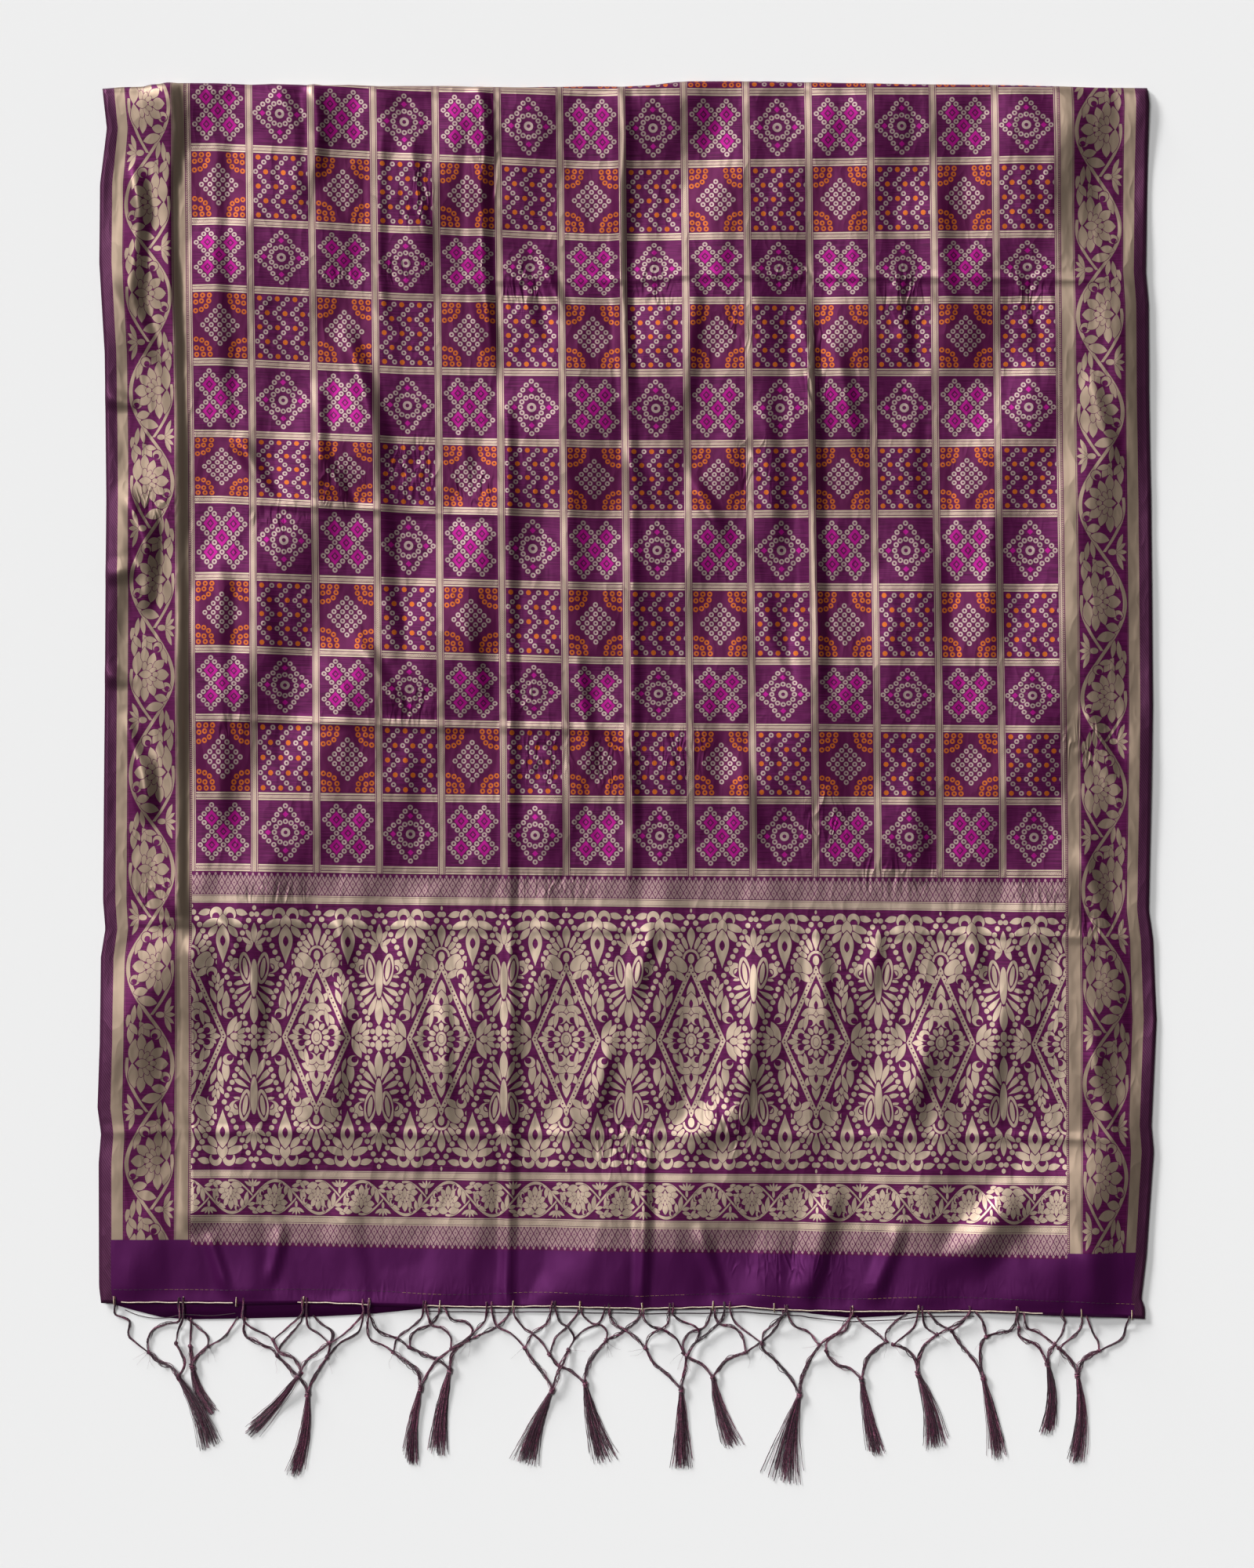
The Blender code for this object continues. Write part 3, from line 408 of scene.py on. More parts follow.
# Side stripes of solid metal thread between fine lines
stripeBand = """
side = min(u, width - u)
first = 4.7 - abs(side - 15.2)
second = 5.1 - abs(side - 68.6)
fine = 0.3 - abs(abs(abs(side - 42) - 20.3) - 0.45)
dots = min(0.45 - abs(abs(side - 75) - 0.2), abs(v % 1.6 - 0.8) - 0.3)
gold = max(max(first, second), max(fine, dots))
"""
selvageBand = """
gold = abs((u * 1.6 - v) % 3.2 - 1.6) - 1.15
"""
templeBand = """
y = min(abs(v - templeStart), abs(patternEnd + teeth - v))
a = u / 5.343 + y / 9.3
b = u / 5.343 - y / 9.3
da = abs(wrap(a, 0.5, -0.5))
db = abs(wrap(b, 0.5, -0.5))
f = max(da, db)
tooth = y - pingpong(u, 2.6715) * 1.75
gold = min(min(0.43 - f, f - 0.1), tooth)
"""
hatchStripe = """
y = abs(min(min(abs(v - 713), abs(v - 947)), abs(v - 985.2)))
hatch = min(2.2 - y, abs((u + y * 0.5) % 1.35 - 0.675) - 0.1)
gold = max(hatch, 0.4 - abs(y - 3))
"""
plainBand = """
gold = 0 - 1
"""

# One flower in its loop of two crossing vines. The next one along is its mirror image.
flowerShapes = [Shape(*row) for row in [
    # Stems, fans and drops where two vines cross
    ("leaf", -8.4, -43, 82, 7.6, 2.2), ("leaf", 8.4, 39.7, 98, 7.6, 2.2), ("leaf", -13.4, -41.6, 97, 8.4, 2.2),
    ("leaf", 13.4, 41.1, 83, 8.4, 2.2), ("leaf", -17.6, -37.6, 100, 7, 1.9), ("leaf", -15.6, 41.3, 0, 5.4, 2),
    ("leaf", -15.2, 37.4, 38, 5.8, 1.9), ("leaf", -14.8, 32.8, 68, 7.2, 1.9), ("leaf", 15.6, -41.3, 0, 5.4, 2),
    ("leaf", 15.2, -37.4, 38, 5.8, 1.9), ("leaf", 14.8, -32.8, 68, 7.2, 1.9), ("oval", -8.3, 41.3, 0, 3.6, 2.5),
    ("oval", 8.3, -41.3, 0, 3.6, 2.5),
    # Leaves in lobes, beside the flower
    ("leaf", -4.4, -29, 58, 7.8, 3.4), ("leaf", -1.6, -31.4, 12, 5.6, 2.6), ("leaf", -7.2, -27, 100, 5.6, 2.2),
    ("leaf", -15.8, -25.4, 92, 9, 2.9), ("leaf", -13.4, -29.6, 58, 6, 2.6),
    # Along the vine
    ("leaf", 10.6, -17.4, 72, 8.2, 2.6), ("curl", 4.8, -24.6, 120, 4.4, 4.2), ("curl", 12.6, 11.8, 60, 4.4, 4.2),
    ("leaf", 7.8, 21.6, 12, 6.2, 3.7), ("leaf", 2.2, 29.6, -14, 8.4, 4.3),
    # Petals of the lotus, outer ones first
    ("twin leaf", -13, 10.4, 84, 10.8, 4.4), ("twin leaf", -6.6, 17, 92, 8.2, 3.6),
    ("twin leaf", -0.4, 12.6, 74, 7.6, 3.7), ("twin leaf", 5.6, 8.6, 40, 6.8, 4.1), ("leaf", 8.8, 0.4, 0, 6.4, 5.2),
    ("twin oval", -6.8, 7.4, 88, 4.4, 2.2), ("twin oval", -2.9, 6.2, 62, 4, 2.1),
    ("twin oval", 0.2, 3.9, 30, 3.4, 2.1), ("oval", 2.6, 0, 0, 2.6, 2.3), ("leaf", -6.2, 0, 0, 5.8, 3.7),
]]
flowerLoop = """
half = round(along / flowerCell)
y = along - half * flowerCell
turned = 1 - abs(half % 2) * 2
x = over * turned
wave = cos((y - 2) * 3.14159 / flowerCell) * 18.6
right = 1.35 - abs(x - wave) * 0.82
left = min(1.1 - abs(x + wave) * 0.82, y * 0.2 + 1)
start = max(right, left)
"""
sideBand = """
along = v - leftFlowers - more(u, 450) * (rightFlowers - leftFlowers)
over = min(u, width - u) - 41.5
""" + flowerLoop
smallBand = """
along = (u - 110) * 2.229
over = (v - 966) * 1.36
""" + flowerLoop

# The end panel, a quarter of its repeat: x from the axis of a tall diamond, y from the middle line
panelMaths = """
x = pingpong(u - innerStripe, columnPitch)
y = abs(v - panelMiddle)
slope = x * 0.914 + y * 0.406 - 25.1
alongSlope = y * 0.914 - x * 0.406
holes = abs(slope) * abs(slope) + (alongSlope % 3.9 - 1.95) * (alongSlope % 3.9 - 1.95) - 0.5
start = min(1.9 - abs(slope), holes)
beads = 0 - 1
"""
beadLine = """
far = (x - {0}) * {2} + (y - {1}) * {3}
along = (x - {0}) * {3} - (y - {1}) * {2}
step = (along + {5}) % {4} - {4} / 2
beads = max(beads, min({6} - sqrt(far * far + step * step), {7}))
"""
for row in [  # a point of the line and its normal, the beads' pitch, shift and radius, and where the line stops
    (0, 108.3, 0.894, 0.449, 5.95, 0, 2.3, "21.5 - x"),
    (28, 55.9, 0.929, 0.37, 6.02, 3, 2.2, "58 - y"),
    (28, 55.9, 0.901, -0.434, 5.96, -3, 2.2, "y - 54"),
]:
    panelMaths += beadLine.format(*row)
panelShapes = [Shape(*row) for row in [
    # In the diamond: a crest, scrolls and a rosette
    ("leaf", 0, 40, 90, 10.1, 3.7), ("leaf", 6.6, 33.6, 62, 4.9, 2.7), ("leaf", 0, 30.5, 90, 11, 6.2),
    ("leaf", 6.4, 25.2, -22, 7, 3.7), ("hole", 0, 31.4, 90, 4, 1.7), ("leaf", 12.6, 15.2, 118, 5.7, 2.5),
    ("curl", 4.4, 18, -60, 5, 4.6), ("leaf", 8.7, 17, 100, 7.8, 1.9), ("curl", 14.2, 6.4, -130, 4.8, 4.6),
    ("leaf", 20, 0, 0, 4.7, 2.5), ("leaf", 18.2, 4, 40, 3.6, 1.7), ("oval", 0, 10.4, 90, 3.4, 2.1),
    ("oval", 4.6, 8.9, 58, 3.2, 2), ("oval", 7.6, 4.8, 28, 3.1, 2), ("oval", 8.8, 0, 0, 3.1, 2.1),
    ("ring", 0, 0, 90, 6.2, 4.6), ("oval", 0, 0, 90, 3.6, 2.5),
    # Over its tip: a drop under an arch, wings and a fan
    ("oval", 0, 69.8, 90, 4.1, 2.7), ("arch", 0, 69.4, 90, 8.6, 7.4), ("oval", 9.8, 65, 48, 8.5, 5),
    ("drop", 0, 87, 90, 9.8, 5), ("oval", 5.6, 83.6, 68, 6.1, 2), ("oval", 9.2, 79.6, 52, 5.1, 2.1),
    ("oval", 11.2, 74.8, 34, 4.5, 2.1), ("leaf", 15.6, 62.8, 66, 6.4, 3.2), ("leaf", 9.6, 55, 36, 6.8, 2.9),
    ("curl", 17.4, 54.6, -110, 4.6, 4.4),
    # Along its side: a spray, a hooked leaf and the bunch at its corner
    ("leaf", 21.8, 42, 90, 3.4, 2.1), ("leaf", 22.6, 49.6, 88, 4.5, 1.7), ("leaf", 19.2, 48.6, 108, 4, 1.7),
    ("leaf", 25.6, 45.8, 62, 4.2, 1.7), ("leaf", 16.9, 44.6, 130, 3.5, 1.7), ("leaf", 24.6, 36, 74, 7.8, 2.4),
    ("leaf", 18.6, 34.6, 110, 7, 2.2), ("leaf", 23.6, 23.4, 104, 6.4, 1.6), ("leaf", 29.2, 29.2, 88, 9.8, 3.3),
    ("curl", 31.2, 19.6, -40, 4.8, 4.5), ("leaf", 34.4, 8.8, 64, 9.3, 3.3), ("leaf", 39.8, 8.6, 58, 5.7, 2.4),
    ("leaf", 42.8, 4.4, 34, 5.1, 2.1), ("oval", 36.6, 0, 0, 3.6, 3.1), ("leaf", 43, 0, 0, 4.2, 2.1),
    # Between the diamonds: a plume over two nested paisleys, and a sprig
    ("leaf", 49.4, 77.4, 62, 6.6, 2.4), ("leaf", 37.4, 60.4, 62, 5.2, 1.9), ("leaf", 40.6, 53.4, 20, 5, 1.8),
    ("drop", 42.2, 46, -166, 6.4, 2.9), ("drop", 42.8, 39.8, -150, 7.4, 3.2), ("drop", 44.8, 33.4, -132, 8.8, 3.5),
    ("drop", 48.2, 27.8, -112, 10.4, 3.6), ("drop", 53.3, 24.6, -90, 13.6, 5), ("oval", 53.3, 6, 90, 4.6, 2.8),
    ("curl", 37.9, 60.6, -50, 6.6, 5.8), ("oval", 46, 58.4, 97, 13.6, 5), ("hole", 46, 58.4, 97, 11, 3.7),
    ("oval", 46, 58.4, 97, 8.6, 2), ("oval", 53.3, 50, 90, 16, 3), ("leaf", 47.2, 81.4, 142, 5.2, 1.9),
    ("leaf", 49.5, 86.4, 122, 6.2, 2.1), ("leaf", 53.3, 88.6, 90, 8.4, 2.4),
    # Crests on the panel's edge, halfway between
    ("leaf", 42, 105.6, -14, 6, 2.8), ("leaf", 11.3, 105.6, 14, 6, 2.8), ("curl", 32.4, 104.2, -84, 5.9, 5.4),
    ("curl", 20.9, 104.2, -96, 5.9, 5.4), ("leaf", 37, 96.6, -22, 8.8, 3.3), ("leaf", 16.3, 96.6, 22, 8.8, 3.3),
    ("leaf", 35.4, 89.4, -50, 6.8, 2.9), ("leaf", 17.9, 89.4, 50, 6.8, 2.9), ("leaf", 26.65, 97, 90, 7.2, 4.6),
    ("drop", 26.65, 78.6, 90, 16.6, 8.8), ("hole", 26.65, 81.4, 90, 4.8, 2.4),
]]


def shapesBetween(first, last):
    # The end panel's shapes that reach a zone of it
    reach = [max(shape.length, shape.width) + 1 for shape in panelShapes]
    return [shape for shape, far in zip(panelShapes, reach) if first - far < shape.y < last + far]


regions = {
    "selvage": clothMaterial("selvage silk twill", selvageBand, ground="selvage", zari="selvageTwill", twill=0.5),
    "stripe": clothMaterial("metal thread side stripe", stripeBand, zari="borderZari"),
    "flowers": clothMaterial("brocaded flower border", sideBand, zari="borderZari", motif=flowerShapes),
    "diamonds": clothMaterial("square with diamonds", squareStart + diamondSquare, zari="ringZari"),
    "rosette": clothMaterial("square with rosette", squareStart + rosetteSquare + ringsAt(rosetteRings, "gold"),
                             zari="ringZari"),
    "lattice": clothMaterial("square with lattice", squareStart + latticeSquare + ringsAt(cornerRings, "dyed"),
                             ground="warmSilk", dye="orange", zari="ringZari"),
    "zigzag": clothMaterial("square with zigzags", squareStart + zigzagSquare, dye="orange", zari="ringZari"),
    "rope": clothMaterial("twisted line of metal thread", ropeBand),
    "hatch": clothMaterial("hatched line of metal thread", hatchBand, zari="zariPale"),
    "temple": clothMaterial("mauve temple edging", templeBand, zari="mauve"),
    "cream": clothMaterial("cream hatched stripe", hatchStripe, zari="zariPale"),
    "panelMiddle": clothMaterial("brocaded end panel, middle", panelMaths, motif=shapesBetween(0, plan["panelInner"])),
    "panelSides": clothMaterial("brocaded end panel, next to it", panelMaths,
                                motif=shapesBetween(plan["panelInner"], plan["panelOuter"])),
    "panelEnds": clothMaterial("brocaded end panel, edges", panelMaths, motif=shapesBetween(plan["panelOuter"], 120)),
    "vine": clothMaterial("small vine band", smallBand, motif=flowerShapes),
    "hem": clothMaterial("plain silk hem", plainBand, ground="hemSilk", creases=0.3),
}
slotOf = {name: number for number, name in enumerate(regions)}


def regionAt(u, v):
    # Name of the weave's region at a place
    fromSide = min(u, lie["width"] - u)
    if fromSide < plan["selvage"]:
        return "selvage"
    if v > plan["patternEnd"] + (plan["teeth"] if fromSide > plan["innerStripe"] else 0):
        return "hem"
    if fromSide < plan["outerStripe"]:
        return "stripe"
    if fromSide < plan["flowerBand"]:
        return "flowers"
    if fromSide < plan["innerStripe"]:
        return "stripe"
    if v > plan["rows"] * plan["rowPitch"] + plan["bandHalf"]:
        ends = [
            ("temple", plan["templeEnd"]), ("cream", plan["panelStart"]), ("panel", plan["panelEnd"]),
            ("cream", plan["vineStart"]), ("vine", plan["vineEnd"]), ("cream", plan["secondTemple"]),
            ("temple", plan["hem"]),
        ]
        name = next(name for name, end in ends if v < end)
        if name == "panel":
            far = abs(v - plan["panelMiddle"])
            name = "panelMiddle" if far < plan["panelInner"] else "panelSides"
            if far >= plan["panelOuter"]:
                name = "panelEnds"
        return name
    column, x = divmod(u - plan["innerStripe"], plan["columnPitch"])
    row, y = divmod(v, plan["rowPitch"])
    if min(x, plan["columnPitch"] - x) < plan["bandHalf"]:
        return "rope"
    if min(y, plan["rowPitch"] - y) < plan["bandHalf"]:
        return "hatch"
    if row % 2 == 0:
        return "diamonds" if column % 2 == 0 else "rosette"
    return "lattice" if column % 2 == 0 else "zigzag"


print("stage: how the cloth lies")

# The lie of the cloth: its edges, fold, hems and largest folds as in the part's own source, and its finer folds
Edge = namedtuple("Edge", "down inset")
leftEdge = [Edge(*row) for row in [
    (0, 3.5), (41, 8), (88, 2), (155, 1.5), (231, 6), (358, 7.5), (531, 6), (697, 4.5), (721, 6.5), (745, 2.7),
    (818, 2), (873, 0), (895, 3), (920, 1), (1025, 1.3), (1043, 3.5),
]]
rightEdge = [Edge(*row) for row in [
    (0, 8.5), (19, 6.7), (163, 9.3), (190, 7), (265, 6.7), (358, 4.7), (531, 3.3), (705, 6.7), (730, 3), (798, 0),
    (888, 4.5), (910, 2.5), (998, 8.7), (1035, 13), (1043, 10),
]]
Line = namedtuple("Line", "across below")
foldLine = [Line(*row) for row in [
    (0, 6.7), (35, 5), (58, 2), (77, 2), (200, 3.5), (330, 5), (450, 5), (485, 2), (503, 0), (560, 0.7), (700, 2.5),
    (800, 4.5), (900, 6),
]]
upperHem = [Line(*row) for row in [
    (0, -4), (20, -3.3), (117, -2.7), (170, -3.3), (277, -0.3), (330, 0.7), (387, 0), (463, 2), (503, 1.3),
    (550, 0.3), (583, 3), (640, 4.7), (743, 4), (783, 5), (817, 6.7), (870, 8), (900, 9.5),
]]
underHem = [Line(*row) for row in [
    (0, -5), (24, 2), (50, 8.5), (73, 10), (117, 9.3), (183, 7.7), (230, 5.3), (277, 0.5), (300, -2), (570, -2),
    (605, 5), (642, 8.9), (683, 6.7), (705, 3), (735, 1.5), (900, 6),
]]
Section = namedtuple("Section", "back rise")
foldSection = [Section(0.09, 0.0), Section(0.0, 0.38), Section(0.12, 0.74), Section(0.42, 0.95), Section(1.0, 1.0)]
Fold = namedtuple("Fold", "across0 down0 across1 down1 before after height fade")
folds = [Fold(*row) for row in [
    # The pleat beside the left border, the long folds and the column lines that stand up
    (61, -20, 67, 725, 30, 5, 6, 25), (75, 725, 78, 985, 5, 28, 5.5, 20), (325, -20, 334, 262, 16, 8, 6, 60),
    (346, 262, 352, 1060, 9, 9, 3.9, 30), (447, -20, 451, 300, 11, 7, 5.7, 90), (452, 240, 455, 705, 8, 8, 3.1, 90),
    (467, 890, 468, 1060, 9, 7, 4.2, 40), (606, 175, 613, 540, 18, 10, 6.8, 60), (632, 925, 606, 1055, 22, 14, 6, 40),
    (183, -20, 184, 95, 12, 8, 3.6, 30), (238, 20, 242, 215, 10, 8, 2.9, 40), (184, 250, 185, 362, 12, 9, 3.9, 30),
    # The lower right corner
    (792, 930, 730, 1012, 22, 30, 8.5, 35), (850, 960, 862, 1060, 26, 22, 5.2, 40),
    # Packing creases
    (290, 166, 905, 164, 4.5, 4.5, 1.2, 60), (115, 359, 352, 366, 4.5, 4.5, 1.5, 40),
    (77, 543, 460, 549, 4.5, 4.5, 1.5, 60), (-20, 716, 905, 722, 4.5, 4.5, 1, 60),
    (-20, 896, 905, 892, 4.5, 4.5, 1.1, 60),
    # Broad forms: the right border falls away, a swell, and the dark runs and dips of the left border
    (824, -20, 826, 1060, 90, 74, 4.5, 70), (478, 912, 560, 868, 24, 20, 4.7, 40), (34, 60, 30, 190, 16, 12, 6.4, 40),
    (40, 350, 34, 470, 15, 11, 6, 40), (36, 560, 40, 640, 15, 11, 6, 34), (-6, 262, 34, 276, 12, 12, 3, 14),
    (-6, 420, 34, 410, 12, 12, 3, 14), (-6, 500, 34, 514, 12, 12, 3, 14),
    # Slopes into the pleat and broad folds between the columns and in the panel
    (96, 20, 100, 330, 26, 16, 3.4, 60), (98, 380, 100, 660, 24, 14, 3, 60), (224, 240, 250, 520, 26, 16, 4.4, 80),
    (392, 250, 404, 470, 24, 15, 3.6, 70), (566, 250, 578, 420, 24, 14, 4.4, 60),
    (716, 60, 730, 230, 24, 15, 3.4, 60), (560, 735, 548, 900, 26, 16, 4.6, 50),
    (206, 760, 200, 900, 24, 15, 3.8, 50), (770, 760, 756, 900, 24, 15, 4, 50),
    # Short folds, slants and slack in the squares
    (150, -20, 172, 120, 14, 16, 2.1, 40), (262, 40, 284, 150, 12, 9, 3.4, 30), (204, 196, 246, 330, 15, 11, 3.6, 40),
    (178, 300, 214, 372, 12, 9, 3.1, 25), (112, 296, 148, 366, 11, 9, 2.9, 22), (300, 210, 312, 352, 13, 10, 3.4, 40),
    (372, 120, 384, 232, 14, 12, -2.5, 40), (372, 130, 404, 210, 10, 9, 2.9, 30),
    (446, 300, 470, 372, 11, 10, 2.6, 30), (512, 160, 498, 300, 14, 10, 2.9, 50),
    (500, 330, 540, 398, 12, 9, 3.1, 30), (628, 206, 650, 330, 16, 11, 3.4, 40), (682, 150, 694, 250, 12, 9, 3.1, 30),
    (786, 150, 800, 236, 12, 9, 3.1, 30), (716, 230, 728, 520, 26, 20, -2.9, 90),
    (764, 330, 756, 520, 20, 16, 2.9, 80), (128, 400, 150, 532, 18, 14, 2.9, 50),
    (216, 470, 262, 548, 14, 10, 3.4, 30), (306, 440, 330, 545, 14, 10, 3.4, 40),
    (404, 470, 420, 600, 12, 9, 3.4, 40), (446, 540, 456, 636, 10, 8, 3.1, 30), (540, 560, 566, 668, 20, 14, 3.1, 50),
    (562, 420, 590, 540, 16, 12, 2.9, 50), (690, 560, 704, 690, 18, 14, 2.9, 50),
    # Drags and slants in the panel
    (92, 700, 124, 760, 12, 10, 3.4, 22), (196, 706, 214, 762, 12, 10, 3.4, 22),
    (128, 742, 140, 830, 14, 11, 3.1, 34), (290, 760, 298, 900, 14, 11, 3.1, 50),
    (474, 704, 452, 790, 13, 10, 3.9, 34), (438, 800, 420, 900, 14, 12, 2.9, 40),
    (612, 700, 620, 830, 15, 12, 3.6, 50), (668, 704, 656, 782, 13, 10, 3.4, 30),
    (742, 706, 752, 770, 13, 10, 3.4, 30), (712, 780, 690, 900, 20, 15, 3.1, 50),
    # Slants at the hem
    (92, 975, 112, 1036, 9, 7, 2.9, 18), (160, 968, 146, 1030, 9, 7, 2.3, 18), (512, 968, 540, 1040, 10, 8, 2.9, 20),
    (690, 960, 664, 1040, 13, 10, 3.4, 24),
    # Slack in the side borders
    (22, 60, 44, 130, 12, 10, 3.8, 24), (18, 150, 46, 246, 13, 11, 4.6, 30), (16, 340, 42, 420, 12, 10, 4.4, 26),
    (14, 520, 44, 640, 14, 11, 4.4, 36), (846, 236, 872, 330, 13, 11, 2.6, 30), (838, 520, 872, 590, 13, 11, 3.6, 24),
    (838, 640, 866, 720, 13, 11, 2.9, 26), (842, 800, 870, 900, 14, 11, 2.9, 32),
]]
Swell = namedtuple("Swell", "height acrossWave downWave shift")
swells = [Swell(0.55, 310, 420, 0.4), Swell(0.45, 175, 240, 2.1)]
# The soft unevenness of silk that was folded small: long shallow waves down the cloth, shorter ones over them
Wave = namedtuple("Wave", "height across lean down seed")
waves = [Wave(5.0, 105, 400, 150, 5.1), Wave(4.0, 44, 300, 105, 1.3), Wave(1.1, 19, -160, 44, 7.9),
         Wave(0.16, 9, math.inf, 24, 4.4)]
wrinkle = Wave(0.55, 5.2, math.inf, 30, 6.6)  # only where the cloth is gathered

# Patches of small gathers, most of them along the packing creases
Gather = namedtuple("Gather", "across down halfAcross halfDown strength")
patchReach = 1.25  # of the half sizes
gathers = [Gather(*row) for row in [
    (272, 100, 16, 34, 1), (255, 160, 30, 14, 0.6), (205, 166, 26, 10, 0.5), (365, 178, 26, 22, 1),
    (478, 176, 24, 20, 0.8), (590, 168, 28, 14, 0.7), (688, 186, 24, 30, 1), (792, 182, 24, 26, 0.9),
    (330, 60, 14, 60, 0.7), (548, 210, 20, 30, 0.5), (150, 372, 30, 16, 0.7), (205, 344, 24, 24, 1),
    (268, 330, 26, 30, 0.9), (322, 346, 26, 22, 0.8), (560, 330, 20, 36, 0.7), (610, 250, 14, 60, 0.9),
    (380, 575, 28, 26, 1), (442, 578, 30, 28, 1), (498, 572, 24, 24, 0.9), (262, 532, 34, 20, 0.8),
    (110, 548, 24, 14, 0.6), (360, 520, 20, 30, 0.5), (150, 690, 44, 12, 0.6), (380, 684, 60, 14, 0.6),
    (680, 676, 50, 20, 0.7), (800, 690, 30, 16, 0.7), (615, 630, 26, 40, 0.6), (450, 905, 40, 24, 0.8),
    (540, 880, 30, 40, 0.6), (590, 1005, 60, 20, 0.6), (300, 1030, 200, 12, 0.15), (700, 1030, 160, 14, 0.2),
    (845, 560, 30, 24, 1), (50, 360, 24, 20, 0.7), (50, 690, 24, 20, 0.7), (845, 716, 30, 14, 0.6),
]]


def between(xs, ys, place):
    # The value at a place on a line through the given points
    number = bisect.bisect(xs, place)
    if number == 0 or number == len(xs):
        return ys[0] if number == 0 else ys[-1]
    share = (place - xs[number - 1]) / (xs[number] - xs[number - 1])
    return ys[number - 1] + (ys[number] - ys[number - 1]) * share


columnsRead = {}


def along(table, place, column):
    key = (id(table), column)
    if key not in columnsRead:
        columnsRead[key] = ([row[0] for row in table], [getattr(row, column) for row in table])
    return between(*columnsRead[key], place)


def fade(value):
    value = min(max(value, 0.0), 1.0)
    return value * value * (3.0 - 2.0 * value)


def foldHeight(fold, across, down):
    # Height that one fold adds, with its own slope on each side and soft ends
    runX, runY = fold.across1 - fold.across0, fold.down1 - fold.down0
    offX, offY = across - fold.across0, down - fold.down0
    length = math.hypot(runX, runY)
    onLine = (offX * runX + offY * runY) / length
    side = (offX * runY - offY * runX) / length
    reach = fold.after if side > 0 else fold.before
    if abs(side) > reach:
        return 0.0
    return fold.height * fade(min(onLine, length - onLine) / fold.fade) * fade(1.0 - abs(side) / reach)


def gathered(across, down):
    # How strongly the cloth is gathered into small wrinkles at a place
    strongest = 0.0
    for patch in gathers:
        x, y = (across - patch.across) / patch.halfAcross, (down - patch.down) / patch.halfDown
        if max(abs(x), abs(y)) < patchReach:
            strongest = max(strongest, patch.strength * fade(patchReach - math.hypot(x, y)))
    return strongest


def relief(across, down):
    # How far the upper layer stands above where it would lie quite flat
    height = sum(foldHeight(fold, across, down) for fold in folds)
    for swell in swells:
        wave = math.sin(2 * math.pi * across / swell.acrossWave + swell.shift)
        wave *= math.cos(2 * math.pi * down / swell.downWave + swell.shift)
        height += swell.height * (1 + wave)
    return height


def waveAt(wave, across, down):
    place = Vector((across / wave.across + down / wave.lean, down / wave.down, wave.seed))
    return wave.height * noise.noise(place)


def looseness(across, down):
    height = sum(waveAt(wave, across, down) for wave in waves)
    return height + waveAt(wrinkle, across, down) * gathered(across, down)


# Where the woven lines lie on the photographed cloth: "down" in mm at four places across the width
stations = [101, 263, 425, 790]
RowLine = namedtuple("RowLine", "v first second third fourth")
rowLines = [RowLine(*row) for row in [
    (-62.4, -68, -56, -51, -53), (0, -5.3, 6, 10.7, 9.3), (62.4, 56.7, 65.3, 72, 68),
    (124.8, 120, 127.3, 133.7, 131.3), (187.2, 176.7, 184, 187.7, 186.7), (249.6, 239.3, 246.7, 249, 248),
    (312, 300, 306, 309.3, 308), (374.4, 356, 364.7, 369, 368), (436.8, 421.3, 426, 430, 431.3),
    (499.2, 483.3, 488.7, 493.3, 494.7), (561.6, 541.3, 546, 548.7, 551.3), (624, 608, 610, 611.3, 612.7),
    (686.4, 668.5, 671.3, 672.7, 674), (716.5, 698.7, 700.7, 702, 706.7), (943.7, 925.7, 927.5, 928.5, 931),
    (1003, 985, 988, 990, 996),
]]
# and where the squared field begins and ends across it
Sides = namedtuple("Sides", "down left right")
fieldSides = [Sides(*row) for row in [
    (0, 75.4, 814.8), (50, 76, 815.5), (317, 79, 818), (640, 80.6, 822.2), (1000, 79.5, 823.5),
]]


def hemAt(across, hem=upperHem):
    return lie["foldToHem"] + along(hem, across, "below")


def placeInPlan(u, v, hem):
    # From the weave to across and down, with the cloth's real outline
    if v <= plan["patternEnd"]:
        down = between(stations, [along(rowLines, v, name) for name in RowLine._fields[1:]], u)
    else:
        start = between(stations, rowLines[-1][1:], u)
        share = (v - plan["patternEnd"]) / (plan["hem"] - plan["patternEnd"])
        down = start + (hemAt(u, hem) - start) * share
    left = along(leftEdge, down, "inset")
    right = lie["width"] - along(rightEdge, down, "inset")
    knots = [0, plan["innerStripe"], plan["fieldEnd"], lie["width"]]
    field = [along(fieldSides, down, "left"), along(fieldSides, down, "right")]
    across = between(knots, [left, *field, right], u)
    return across, down


def overFold(across, down, height):
    # Bends the top of the cloth round the fold: past its round part, "down" is counted along the surface
    nose = along(foldLine, across, "below")
    back = lie["foldRound"]
    past = nose + back - down
    if past <= 0:
        return down, height
    points = [Vector((section.back * back, section.rise * height)) for section in reversed(foldSection)]
    for start, end in zip(points, points[1:]):
        step = (end - start).length
        if past <= step:
            spot = start + (end - start) * past / step
            return nose + spot.x, spot.y
        past -= step
    return nose + points[-1].x, lie["backHeight"]


